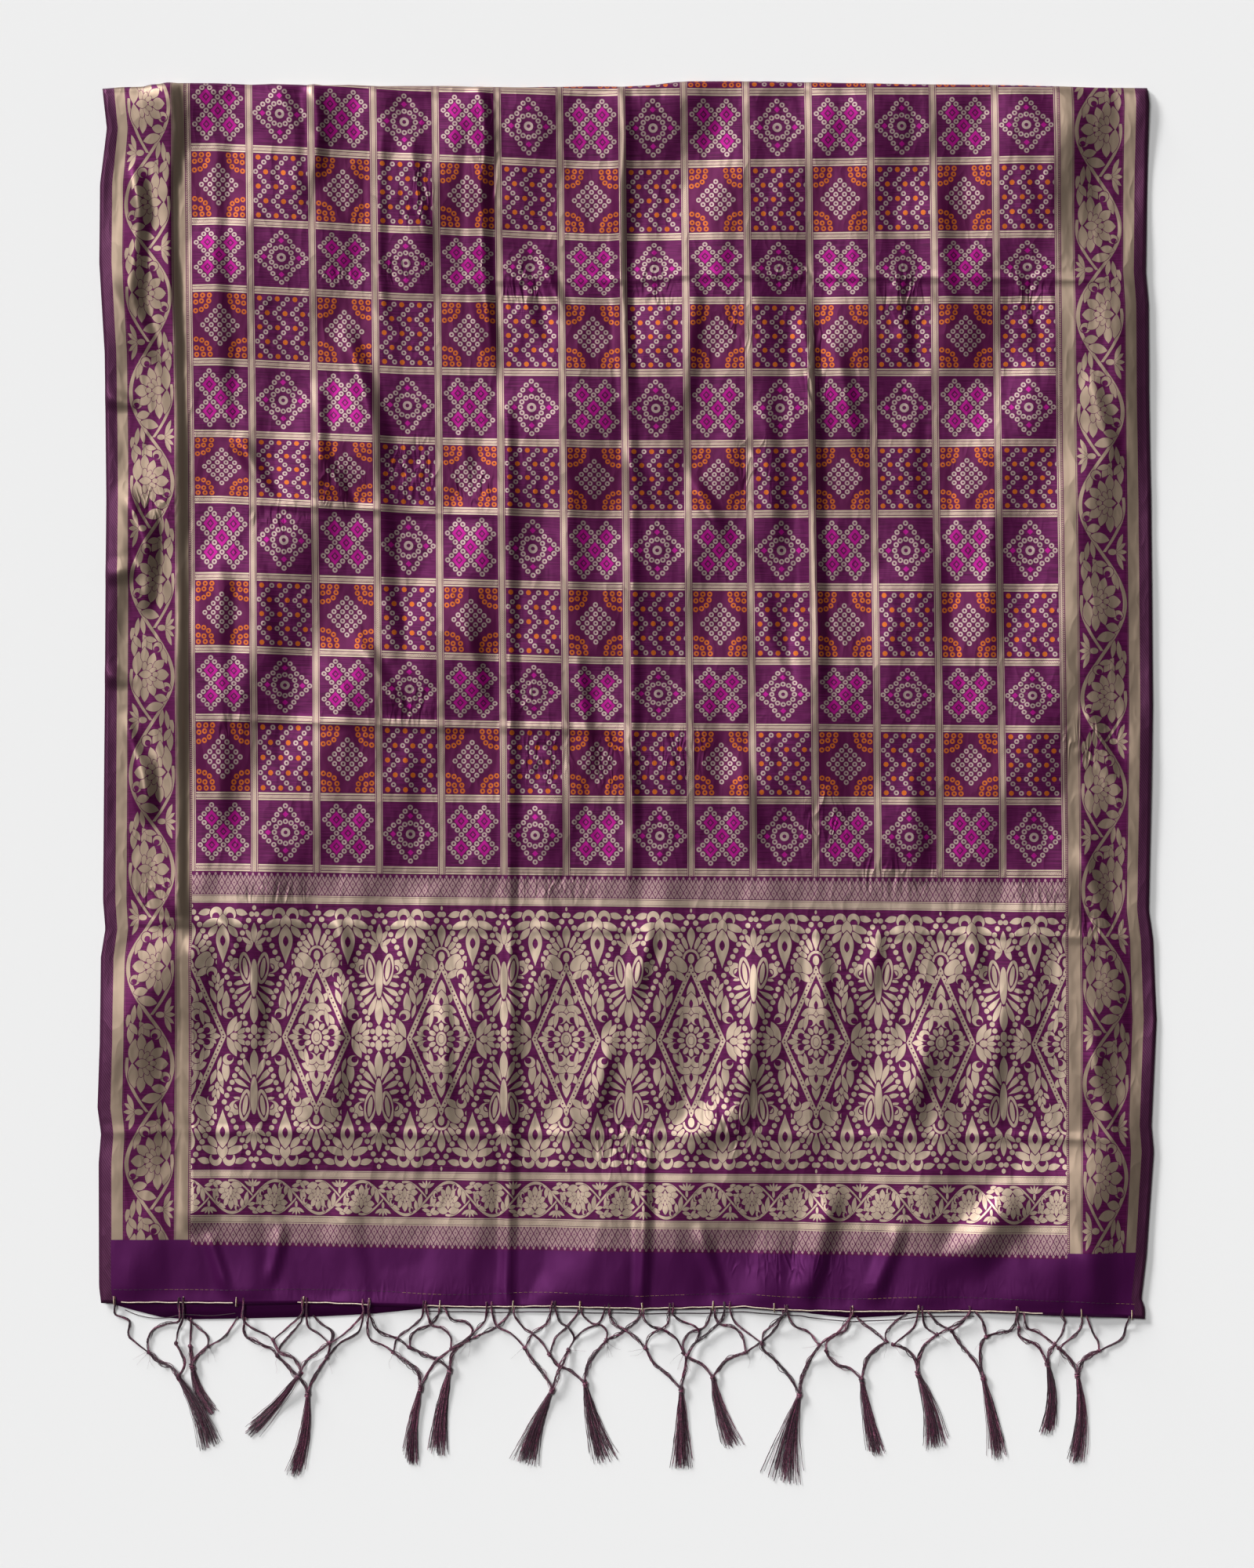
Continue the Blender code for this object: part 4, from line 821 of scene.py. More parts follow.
def surfacePlace(u, v):
    # A place on the upper layer's outer face, in mm
    across, down = placeInPlan(u, v, upperHem)
    top = along(foldLine, across, "below")
    bottom = hemAt(across)
    flatDown = (down - top) / (bottom - top) * lie["foldToHem"]
    left = along(leftEdge, flatDown, "inset")
    right = lie["width"] - along(rightEdge, flatDown, "inset")
    flatAcross = (across - left) / (right - left) * lie["width"]
    rise = lie["foldRise"] * (1.0 - fade((flatDown - lie["foldRound"]) / lie["foldFade"]))
    loose = fade(min(down - top, bottom - down, across - left, right - across) / lie["calmEdge"])
    height = lie["flatTop"] + rise + relief(flatAcross, max(flatDown, lie["foldRound"]))
    height += looseness(flatAcross, flatDown) * (lie["edgeLooseness"] + (1 - lie["edgeLooseness"]) * loose)
    height = max(height, lie["underTop"] + lie["layerGap"])
    down, height = overFold(across, down, height)
    return across, down, height


def gridLines(marks, step):
    # Even steps between the given marks, so that each region ends on a line
    lines = [marks[0]]
    for start, end in zip(marks, marks[1:]):
        count = max(1, round((end - start) / step))
        lines += [start + (end - start) * (n + 1) / count for n in range(count)]
    return lines


def weaveMarks():
    # The places where one region of the weave ends and the next begins
    sides = [0, plan["selvage"], plan["outerStripe"], plan["flowerBand"]]
    uMarks = sides + [lie["width"] - side for side in sides]
    for column in range(plan["columns"] + 1):
        middle = plan["innerStripe"] + column * plan["columnPitch"]
        uMarks += [middle - plan["bandHalf"] * (column > 0), middle + plan["bandHalf"] * (column < plan["columns"])]
    vMarks = [plan[name] for name in ("templeEnd", "panelStart", "panelEnd", "vineStart", "vineEnd",
                                      "secondTemple", "patternEnd", "hem")] + [plan["patternEnd"] + plan["teeth"]]
    for far in (plan["panelInner"], plan["panelOuter"]):
        vMarks += [plan["panelMiddle"] - far, plan["panelMiddle"] + far]
    for row in range(plan["rows"] + 1):
        middle = row * plan["rowPitch"]
        vMarks += [middle - plan["bandHalf"], middle + plan["bandHalf"]]
    return sorted(set(uMarks)), sorted(set(vMarks))


def weaveGrid(mesh, us, vs, placeOf, upwards=True):
    # A grid of faces that carries the weave as its UV map, and each region's own material
    uvLayer = mesh.loops.layers.uv.get("weave") or mesh.loops.layers.uv.new("weave")
    rows = [[mesh.verts.new(world(*placeOf(u, v))) for u in us] for v in vs]
    for j in range(len(vs) - 1):
        for i in range(len(us) - 1):
            corners = [(j, i), (j + 1, i), (j + 1, i + 1), (j, i + 1)]
            if not upwards:
                corners.reverse()
            face = mesh.faces.new([rows[b][a] for b, a in corners])
            face.material_index = slotOf[regionAt((us[i] + us[i + 1]) / 2, (vs[j] + vs[j + 1]) / 2)]
            for loop, (b, a) in zip(face.loops, corners):
                loop[uvLayer].uv = (us[a], vs[b])
    return rows


def placePiece(name, data):
    data.shade_smooth()
    piece = bpy.data.objects.new(name, data)
    bpy.context.scene.collection.objects.link(piece)
    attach(piece, "root")
    return piece


def finishCloth(name, mesh):
    bmesh.ops.remove_doubles(mesh, verts=mesh.verts, dist=0.00002)
    bmesh.ops.recalc_face_normals(mesh, faces=mesh.faces)
    for vert in mesh.verts:
        vert.co.z = max(vert.co.z, 0.0)
    data = bpy.data.meshes.new(name)
    mesh.to_mesh(data)
    mesh.free()
    for material in regions.values():
        data.materials.append(material)
    return placePiece(name, data)


def spotOf(vert):
    return tuple(round(c, 9) for c in vert.co)


upperCloth = {"step": 3.25, "start": -17.0, "edgeDrop": 0.9, "edgeTuck": 0.5, "turnIn": 5.0}


def makeUpperCloth():
    # The half that shows: one thin sheet that bends round the fold and turns in a little at its edges
    uMarks, vMarks = weaveMarks()
    us = gridLines(uMarks, upperCloth["step"])
    vs = gridLines([upperCloth["start"]] + vMarks, upperCloth["step"])
    mesh = bmesh.new()
    strength = mesh.verts.layers.float.new("gathered")
    rows = weaveGrid(mesh, us, vs, surfacePlace)
    for vert in mesh.verts:
        vert[strength] = gathered(vert.co.x / mm + lie["width"] / 2, lie["foldToTip"] / 2 - vert.co.y / mm)
    outward = {}
    for row in rows:
        outward[row[0]] = Vector((-1, 0, 0))
        outward[row[-1]] = Vector((1, 0, 0))
    for vert in rows[-1]:
        outward[vert] = outward.get(vert, Vector()) + Vector((0, -1, 0))
    rim = [edge for edge in mesh.edges if edge.is_boundary and all(vert in outward for vert in edge.verts)]
    sides = {spotOf(vert): away for vert, away in outward.items()}
    for drop, inset in ((upperCloth["edgeDrop"], upperCloth["edgeTuck"]), (0.0, upperCloth["turnIn"])):
        made = bmesh.ops.extrude_edge_only(mesh, edges=rim)["geom"]
        rim = [item for item in made if isinstance(item, bmesh.types.BMEdge)]
        moved = {}
        for vert in made:
            if isinstance(vert, bmesh.types.BMVert):
                away = sides[spotOf(vert)]
                vert.co += Vector((-away.x * inset, -away.y * inset, -drop)) * mm
                moved[spotOf(vert)] = away
        sides = moved
    return finishCloth("upperCloth", mesh)


underCloth = {"step": 12, "start": 0.0, "height": 0.02, "behindFold": 4.5}


def makeUnderCloth():
    # The half below: only its sides, its hem and its outer face show, which lies flat on the floor
    uMarks, vMarks = weaveMarks()
    us = gridLines(uMarks, underCloth["step"])
    vs = gridLines([underCloth["start"]] + [mark for mark in vMarks if mark > 0], underCloth["step"])
    inset = lie["underInset"] / lie["width"]

    def lower(u, v):
        across, down = placeInPlan(u, v, underHem)
        across += (lie["width"] / 2 - across) * inset * 2
        back = along(foldLine, across, "below") + underCloth["behindFold"]
        return across, max(down, back), underCloth["height"]

    def upper(u, v):
        across, down, _ = lower(u, v)
        return across, down, lie["underTop"]

    mesh = bmesh.new()
    below = weaveGrid(mesh, us, vs, lower, upwards=False)
    above = weaveGrid(mesh, us, vs, upper)
    for face in mesh.faces:
        if face.verts[0].co.z > lie["underTop"] / 2 * mm:
            face.material_index = slotOf["hem"]
    sides = [(below[0], above[0]), (below[-1], above[-1])]
    sides += [([row[end] for row in below], [row[end] for row in above]) for end in (0, -1)]
    for first, second in sides:
        for number in range(len(first) - 1):
            if (first[number].co - first[number + 1].co).length > 1e-7:
                side = mesh.faces.new([first[number], first[number + 1], second[number + 1], second[number]])
                side.material_index = slotOf["hem"]
    return finishCloth("underCloth", mesh)


upper = makeUpperCloth()
print("upper cloth:", len(upper.data.polygons), "faces")
under = makeUnderCloth()
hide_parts("upper_half")
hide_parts("under_half")

print("stage: fringe")

# The knotted fringe, as in the part's own source. Points are (across, below the fold-to-hem length), in mm.
Branch = namedtuple("Branch", "knot route hemCords")
Tassel = namedtuple("Tassel", "head tip halfSpread bend branches")
tassels = [
    Tassel((68.7, 58), (95, 118), 7, -3, [
        Branch((43.3, 38), [(51.3, 45.3), (62, 50.5)],
               [[(15, 6), (26.5, 11), (26, 23), (31, 29)], [(69.3, 10.7), (60, 13.5), (47.7, 18.3), (42.7, 27)]]),
        Branch((66.7, 30), [(71, 38), (74.5, 46), (72.5, 53)], [[(72.7, 9), (68.7, 19)]]),
    ]),
    Tassel((80, 49.5), (96.7, 90), 4, 3, [
        Branch((94, 32.7), [(89.8, 36), (83, 43)],
               [[(76, 12), (86, 17.7), (93.5, 24.5)], [(119, 11), (107.7, 24.7)]]),
        Branch((78.5, 33), [(79.5, 42)], [[(79.5, 11), (79, 22)]]),
    ]),
    Tassel((172.7, 55.3), (128, 107), 5, -2, [
        Branch((149.3, 27.3), [(154.7, 37.3), (166.3, 42.5), (172, 50)],
               [[(124, 9), (130, 16), (145, 24)], [(174, 5), (162.5, 15.8)]]),
        Branch((196.7, 30), [(180.3, 42.5), (174.7, 50)],
               [[(177.8, 7), (179.5, 16.5), (188, 22)], [(225.5, 5), (214, 18.3), (202, 27.5)]]),
    ]),
    Tassel((178.7, 72), (166.7, 142), 5, -3, [
        Branch((152.7, 41.3), [(165, 54), (173, 62)],
               [[(125.2, 11), (125.3, 24), (134.4, 29), (147, 35)], [(173, 12), (161, 26), (155.3, 33)]]),
        Branch((195, 42), [(184, 59), (180, 67)],
               [[(183, 8), (191, 14.5), (199.3, 21), (197.5, 33)], [(226.5, 8), (221.6, 20.7), (206.3, 30)]]),
    ]),
    Tassel((274.7, 67.3), (267, 132), 6, 2, [
        Branch((251.3, 38), [(265, 47.7), (272.7, 56.7)],
               [[(230.5, 6), (229.5, 18.3), (232, 27), (243, 32)], [(277, 2), (275.2, 8.7), (266.3, 17), (254.7, 26)]]),
        Branch((300.7, 34.7), [(294.3, 40), (287.5, 45.5), (280.3, 56.7)],
               [[(279, 2), (284, 14), (293, 17.7), (300, 25)], [(330.5, 4), (329, 11), (321, 19.6), (310.7, 28.5)]]),
    ]),
    Tassel((299.3, 52), (289, 124), 6, 2, [
        Branch((265.3, 34), [(277.7, 40), (289.2, 44.5)],
               [[(231, 9), (237, 18.7), (253.3, 26)], [(290, 5), (284, 14), (272.7, 18.3), (266.3, 25)]]),
        Branch((315.3, 27.3), [(305.8, 33.6), (300.7, 41)],
               [[(294, 4), (301, 10), (312, 12), (318.5, 19)], [(350, 5), (339, 16.4), (323, 24)]]),
    ]),
    Tassel((386.7, 69.3), (364, 132), 8, 2, [
        Branch((363, 34.7), [(372.7, 48.7), (381.6, 60.4)],
               [[(335, 4), (339, 15), (350.4, 21.3), (359, 29.5)], [(386, 4), (381.6, 13.3), (370, 22)]]),
        Branch((400, 36), [(395, 47.7), (390.5, 57)],
               [[(389, 4), (393, 12), (400, 17), (405, 26)], [(431, 5), (426.3, 12.7), (414.7, 18.3), (407, 25.3)]]),
    ]),
    Tassel((414, 63.3), (432, 131), 8, 2, [
        Branch((384, 40), [(391.8, 49.3), (400.7, 53.3)],
               [[(354.5, 6), (362, 17), (369.5, 22), (378.5, 31)], [(408, 5), (398.2, 17), (389.3, 26)]]),
        Branch((432, 28), [(422.4, 40), (416, 50)],
               [[(412, 6), (419.9, 13.3), (428, 15), (433, 21)], [(460.5, 8), (447.9, 19.6), (438, 25)]]),
    ]),
    Tassel((496, 68.7), (496.7, 136), 7, 0, [
        Branch((465.7, 34.7), [(472, 46.4), (482.3, 55.3)],
               [[(435, 6), (440.3, 14.5), (447.9, 19), (458, 26)],
                [(486, 6), (483.7, 14.5), (473, 20.5), (467.7, 27)]]),
        Branch((500.7, 40.7), [(499.3, 52)],
               [[(532.5, 4), (530, 11), (518, 22), (507, 31)], [(489, 6), (497, 11.5), (508, 16), (511, 24)]]),
    ]),
    Tassel((522.7, 58.7), (541, 118), 6, 2, [
        Branch((498, 38.7), [(503.3, 43.3), (513, 47.7)],
               [[(464.5, 8), (470.7, 16), (482.3, 19.6), (492, 27)],
                [(521, 6), (515.3, 17), (504, 20.7), (498.3, 29)]]),
        Branch((550.7, 38), [(541.6, 41.3), (532.7, 46.4)],
               [[(525, 6), (529, 13.9), (540.3, 17), (548, 24)], [(582, 8), (573.3, 21.3), (562, 30.7)]]),
    ]),
    Tassel((596.7, 73.3), (582, 147.2), 13, 2, [
        Branch((564.7, 30), [(566, 36), (577.3, 46.4), (588, 59)],
               [[(537.5, 4), (541.6, 12), (551.8, 20.7)], [(584, 5), (572, 15.8), (566, 22)]]),
        Branch((613.3, 31.3), [(605.3, 45), (599, 58)],
               [[(586, 6), (592.7, 15.8), (604, 20.7)], [(640, 8), (636, 18.7), (625.8, 22.7)]]),
    ]),
    Tassel((649.3, 60.7), (662, 125), 5, 1, [
        Branch((619.3, 36.7), [(622, 42.5), (629, 49), (638.5, 51.3)], [[(641, 12), (627.3, 23.3), (620, 29)]]),
        Branch((670.4, 29), [(665.3, 32.3), (656.4, 40), (651.9, 50)],
               [[(645, 12), (656.4, 17.7)], [(687, 8), (675, 15), (670, 22)]]),
    ]),
    Tassel((697, 55.3), (713, 118), 8, -3, [
        Branch((676, 31), [(688.3, 36), (694.7, 44)], [[(697, 8), (693.7, 17), (684.5, 25)]]),
        Branch((713.3, 22.7), [(702.7, 32.3), (698.4, 42)],
               [[(701, 8), (703.7, 16.5)], [(740.7, 6), (732, 12.7), (722.7, 17.3)]]),
    ]),
    Tassel((752.7, 59.3), (766, 128), 6, -1, [
        Branch((725.8, 19.6), [(732, 29.8), (739.9, 38.7), (747.5, 49)],
               [[(741, 7), (734, 14)], [(705.3, 6), (714.3, 13.3)]]),
        Branch((755.3, 24.7), [(751, 32), (750.3, 44)],
               [[(745, 7), (752.7, 12.5)], [(781.7, 8), (778, 18), (767, 21)]]),
    ]),
    Tassel((807.3, 46), (806.5, 108), 5, -4, [
        Branch((782.7, 17), [(782.5, 23), (788.3, 27.3), (798.5, 32.3)], [[(781.3, 5)]]),
        Branch((813.3, 30.7), [(809, 38)], [[(820, 6), (822.3, 12), (819.5, 22)]]),
    ]),
    Tassel((832.7, 56), (832, 131), 6, -4, [
        Branch((817.3, 34.7), [(826.6, 43.8)],
               [[(786.7, 9), (790, 17), (798.5, 20.7), (810, 28.5)], [(836, 9), (836.5, 15), (833, 21)]]),
        Branch((851.3, 36.7), [(841.9, 41), (836.3, 47)],
               [[(840, 9), (845.7, 20.7), (850.5, 29)], [(877, 9), (874, 15.6), (872.7, 23.3), (867.3, 28.9)]]),
    ]),
]

fringe = {
    "strandsInHemCord": 7,
    "strandsInBranch": 10,
    "hemCordRadius": 0.76,
    "branchRadius": 1.12,
    "strandRadius": 0.3,  # a 2-ply rayon thread is about 0.5 mm thick
    "twist": 26.0,  # length of one turn of a cord
    "threads": 84,  # in a tassel
    "threadReach": (0.82, 1.03),  # shares of the tassel's length
    "threadWander": 1.2,
    "tasselStep": 3.2,
    "tasselDepth": 2.6,
    "headRadius": 1.9,
    "hairs": 9,
    "hairRadius": 0.1,
    "hairReach": (0.35, 1.0),
    "hairWander": 6.0,
    "shedHairs": 4,
    "shedRadius": 0.09,
    "shedStep": 1.9,
    "strayShare": 0.16,  # of a cord's strands, which stand off it by these shares of its radius
    "strayReach": (1.6, 2.6),
    "flatness": 0.75,
    "knot": {"radius": 1.55, "length": 2.6, "turns": 5, "sink": 1.9},
    "headKnot": {"radius": 2.0, "length": 5.2, "turns": 8, "sink": 2.6},
    # Looks 1 and 2 are the thread copies with painted sheen and painted glints; the hairs take only these
    "cordLooks": (0, 0, 1, 1, 2),  # numbers of the thread materials to choose from
    "knotLooks": (0, 1, 1, 2),
    "tasselLooks": (0, 0, 0, 1, 1, 2),
    "hairLooks": (1, 2),
    "seed": 400,
    "step": 2.4,
    "overHem": 6.0,
    "offHem": 0.5,
    "underRoot": -1.2,
    "freeFrom": 4.0,
    "floor": 0.3,
}

threadLook = {
    "fibres": 900.0,  # light and dark fibres about 1 mm apart
    "fibreDepth": 0.0001,
    "tones": (0.38, 0.66),
    "sockets": {"Roughness": 0.42, "Sheen Weight": 0.3, "Sheen Roughness": 0.35},
}


def threadMaterial(name, colour, dark):
    # Twisted viscose thread: a soft silky gleam along each ply
    material, tree, shader = newMaterial(name)
    place = addNode(tree, "ShaderNodeTexCoord").outputs["Object"]
    fine = addNode(tree, "ShaderNodeTexNoise", None, {"Vector": place, "Scale": threadLook["fibres"], "Detail": 2.0})
    ramp = addNode(tree, "ShaderNodeValToRGB", None, {0: fine.outputs[0]})
    for element, level, tone in zip(ramp.color_ramp.elements, threadLook["tones"], (dark, colour)):
        element.position = level
        element.color = colours[tone]
    bump = addNode(tree, "ShaderNodeBump", None, {
        "Height": fine.outputs[0], "Distance": threadLook["fibreDepth"], "Strength": 0.5})
    tree.links.new(ramp.outputs[0], shader.inputs["Base Color"])
    tree.links.new(bump.outputs[0], shader.inputs["Normal"])
    for socket, value in threadLook["sockets"].items():
        shader.inputs[socket].default_value = value
    return material


# One dark thread colour in three copies, one taken at random for each thread: the middle copy carries painted sheen,
# the bright one painted glints
threadLooks = [
    threadMaterial("viscose thread, dark", "thread", "threadDark"),
    threadMaterial("viscose thread, painted sheen", "threadPaintedSheen", "threadDark"),
    threadMaterial("viscose thread, painted glint", "threadPaintedGlint", "thread"),
]
goldLook = threadMaterial("waxed brown thread", "goldThread", "goldThreadDark")
creamLook = threadMaterial("cream sewing thread", "creamThread", "zariPale")


def smoothRoute(points, step):
    # Even points on a smooth curve through the given ones
    points = [Vector(point) for point in points]
    padded = [2 * points[0] - points[1], *points, 2 * points[-1] - points[-2]]
    curve = []
    for before, start, end, after in zip(padded, padded[1:], padded[2:], padded[3:]):
        count = max(1, round((end - start).length / step))
        for number in range(count):
            t = number / count
            curve.append(0.5 * (2 * start + (end - before) * t
                                + (2 * before - 5 * start + 4 * end - after) * t * t
                                + (3 * start - before - 3 * end + after) * t * t * t))
    curve.append(points[-1])
    return curve


class ThreadBundle:
    # Collects threads, each a list of points in mm, and turns them into one mesh piece

    def __init__(self, name, looks):
        self.name = name
        self.curve = bpy.data.curves.new(name, "CURVE")
        self.curve.dimensions = "3D"
        self.curve.bevel_depth = mm
        self.curve.bevel_resolution = 0
        self.curve.use_fill_caps = True
        for look in looks:
            self.curve.materials.append(look)

    def add(self, points, radius, look=0, taper=1.0, closed=False):
        spline = self.curve.splines.new("POLY")
        spline.points.add(len(points) - 1)
        for number, (place, spot) in enumerate(zip(points, spline.points)):
            spot.co = (*world(*place), 1.0)
            spot.radius = radius * (1 - (1 - taper) * number / max(len(points) - 1, 1))
        spline.use_cyclic_u = closed
        spline.material_index = look

    def finish(self):
        holder = bpy.data.objects.new(self.name + "Curve", self.curve)
        bpy.context.scene.collection.objects.link(holder)
        bpy.context.view_layer.update()
        data = bpy.data.meshes.new_from_object(holder.evaluated_get(bpy.context.evaluated_depsgraph_get()))
        bpy.data.objects.remove(holder)
        data.name = self.name
        return placePiece(self.name, data)


depsgraph = bpy.context.evaluated_depsgraph_get()
clothTrees = [BVHTree.FromObject(cloth, depsgraph) for cloth in (upper, under)]


def clothTop(across, down):
    # Height of the cloth at a place, or 0
    hits = [tree.ray_cast(world(across, down, 60), Vector((0, 0, -1)))[0] for tree in clothTrees]
    return max([hit.z / mm for hit in hits if hit is not None] or [0.0])


def solidTop(tree, across, down, least):
    # Height of the fringe's own solid at a place, looked for a little way round it
    best = 0.0
    for ring, count in ((0.0, 1), (0.8, 4), (1.8, 6)):
        for number in range(count):
            angle = 2 * math.pi * number / count
            spot = world(across + ring * math.cos(angle), down + ring * math.sin(angle), 60)
            hit = tree.ray_cast(spot, Vector((0, 0, -1)))[0]
            if hit is not None:
                best = max(best, hit.z / mm)
        if best > 0:
            break
    return max(best, least)


def rooted(route, overHem):
    across = route[0][0]
    hem = along(upperHem, across, "below")
    if overHem:
        root = [(across, hem - fringe["overHem"]), (across, hem + fringe["offHem"])]
    else:
        hem = max(hem, along(underHem, across, "below"))
        root = [(across, hem + fringe["underRoot"])]
    return root + [point for point in route if point[1] > hem + fringe["freeFrom"]]


def twistedCord(bundle, route, heights, radius, count, chance):
    # Loose strands that turn round each other, fuller in the middle of the cord
    phase = chance.uniform(0, 6.28)
    steps = len(route)
    runs = [(route[min(n + 1, steps - 1)] - route[max(n - 1, 0)]).normalized() for n in range(steps)]
    for strand in range(count):
        seed = chance.uniform(0, 90)
        stray = 1.0 if strand else 0.0
        if chance.random() < fringe["strayShare"]:
            stray = chance.uniform(*fringe["strayReach"])
        points = []
        for number, (spot, run) in enumerate(zip(route, runs)):
            share = number / max(steps - 1, 1)
            turn = phase + 2 * math.pi * (strand / max(count - 1, 1) + number * fringe["step"] / fringe["twist"])
            turn += 0.9 * noise.noise(Vector((seed, number * 0.14, 0)))
            belly = 0.7 + 0.6 * math.sin(math.pi * share)
            away = radius * belly * stray * (0.75 + 0.5 * noise.noise(Vector((seed, number * 0.2, 5))))
            side = away * math.cos(turn)
            lift = away * math.sin(turn) * fringe["flatness"]
            height = max(heights[number] + lift, fringe["strandRadius"] + 0.05)
            points.append((spot.x + run.y * side, spot.y - run.x * side, height))
        size = fringe["strandRadius"] * chance.uniform(0.8, 1.15)
        bundle.add(points, size, chance.choice(fringe["cordLooks"]))


def windKnot(bundle, place, run, knot, chance):
    # A knot: slanting turns of thread wound round the cord, smaller at its ends
    side = Vector((run.y, -run.x))
    for number in range(knot["turns"]):
        share = number / (knot["turns"] - 1) - 0.5
        lean = chance.uniform(-0.5, 0.5)
        middle = Vector(place[:2]) + run * share * knot["length"]
        size = knot["radius"] * (1 - 0.9 * share * share) * chance.uniform(0.9, 1.1)
        ring = []
        for part in range(12):
            angle = 2 * math.pi * part / 12
            spot = middle + (side + run * lean) * size * math.cos(angle)
            ring.append((spot.x, spot.y, place[2] + size * 0.8 * math.sin(angle)))
        bundle.add(ring, knot["radius"] * 0.3, chance.choice(fringe["knotLooks"]), closed=True)


def layNet(bundle, tree, tassel, overHem, chance):
    # The cords from the hem to the tassel's head, as high over floor, cloth and other cords as their solid lies
    hemLine = lie["foldToHem"]

    def lay(points, radius, count):
        route = smoothRoute([(x, y + hemLine) for x, y in points], fringe["step"])
        tops = [solidTop(tree, spot.x, spot.y, 2 * radius + fringe["floor"]) for spot in route]
        last = len(tops) - 1
        tops = [max(tops[n - 1:n + 2]) if 0 < n < last else tops[n] for n in range(last + 1)]
        twistedCord(bundle, route, [top - radius * 1.15 for top in tops], radius, count, chance)

    for branch in tassel.branches:
        for hemCord in branch.hemCords:
            lay(rooted(hemCord, overHem) + [branch.knot], fringe["hemCordRadius"], fringe["strandsInHemCord"])
        lay([branch.knot, *branch.route, tassel.head], fringe["branchRadius"], fringe["strandsInBranch"])
        x, y = branch.knot
        run = (Vector(branch.route[0]) - Vector(branch.knot)).normalized()
        top = solidTop(tree, x, y + hemLine, 4.0)
        windKnot(bundle, (x, y + hemLine, top - fringe["knot"]["sink"]), run, fringe["knot"], chance)


def hangTassel(bundle, tree, tassel, chance):
    # The tassel's head knot, its threads and a few thin hairs
    head = Vector((tassel.head[0], tassel.head[1] + lie["foldToHem"]))
    tip = Vector((tassel.tip[0], tassel.tip[1] + lie["foldToHem"]))
    length = (tip - head).length
    run = (tip - head) / length
    side = Vector((-run.y, run.x))
    headTop = solidTop(tree, head.x, head.y, 5.0)
    windKnot(bundle, (*(head + run * 1.2), headTop - fringe["headKnot"]["sink"]), run, fringe["headKnot"], chance)
    levels = []  # height of the tassel's middle at tenths of its length
    for tenth in range(11):
        spot = head + run * length * tenth / 10 + side * tassel.bend * math.sin(math.pi * tenth / 10)
        levels.append(solidTop(tree, spot.x, spot.y, 1.0) - (2.5 - 1.8 * tenth / 10) * 0.92)
    levels[0] = levels[1] + 0.4
    for thread in range(fringe["threads"] + fringe["hairs"]):
        hair = thread >= fringe["threads"]
        place = max(-1.25, min(1.25, chance.gauss(0, 0.52)))
        depth = chance.random()
        reach = length * chance.uniform(*fringe["hairReach" if hair else "threadReach"])
        wander = chance.uniform(-1, 1) * fringe["hairWander" if hair else "threadWander"]
        seed = chance.uniform(0, 99)
        steps = max(6, round(reach / fringe["tasselStep"]))
        points = []
        for step in range(steps + 1):
            share = step / steps * reach / length
            half = fringe["headRadius"] + (tassel.halfSpread * 1.3 - fringe["headRadius"]) * share ** 1.35
            wave = 0.55 * noise.noise(Vector((seed, share * 7, 0))) + 0.3 * noise.noise(Vector((seed, share * 17, 4)))
            over = place * half * (0.55 + 0.45 * min(share * 4, 1)) + wander * share * share + wave * min(share * 5, 1)
            over += tassel.bend * math.sin(math.pi * share)
            spot = head + run * share * length + side * over
            thick = fringe["tasselDepth"] * (1 - 0.72 * share) * math.sqrt(max(1 - place * place * 0.6, 0.15))
            level = max(between(range(11), levels, share * 10), 0.0)
            points.append((spot.x, spot.y, level + 0.3 + depth * thick * (0.35 if hair else 1.0)))
        size = fringe["hairRadius"] if hair else fringe["strandRadius"] * chance.uniform(0.7, 1.05)
        bundle.add(points, size, chance.choice(fringe["tasselLooks"]), taper=0.6)


def shedHair(bundle, tassel, chance):
    # A loose hair that the net has shed
    x, y = chance.choice(tassel.branches).knot
    heading = chance.uniform(0, 6.28)
    points = []
    for step in range(9):
        heading += chance.uniform(-0.35, 0.35)
        points.append((x, y + lie["foldToHem"], 0.25 + 1.2 * math.sin(math.pi * step / 8)))
        x += fringe["shedStep"] * math.cos(heading)
        y += abs(fringe["shedStep"] * math.sin(heading))
    bundle.add(points, fringe["shedRadius"], chance.choice(fringe["hairLooks"]), taper=0.4)


def makeTassel(number, tassel):
    # One tassel with its net up to the hem; the odd ones hang from the upper hem
    chance = random.Random(fringe["seed"] + number)
    name = f"tassel_{number:02d}"
    tree = BVHTree.FromObject(frame["nodes"][name], depsgraph)
    bundle = ThreadBundle(f"fringe{number:02d}", threadLooks)
    layNet(bundle, tree, tassel, number % 2 == 1, chance)
    hangTassel(bundle, tree, tassel, chance)
    for _ in range(fringe["shedHairs"]):
        shedHair(bundle, tassel, chance)
    piece = bundle.finish()
    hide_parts(name)
    return piece


fringePieces = [makeTassel(number + 1, tassel) for number, tassel in enumerate(tassels)]
print("fringe:", sum(len(piece.data.polygons) for piece in fringePieces), "faces")

print("stage: hem stitches")

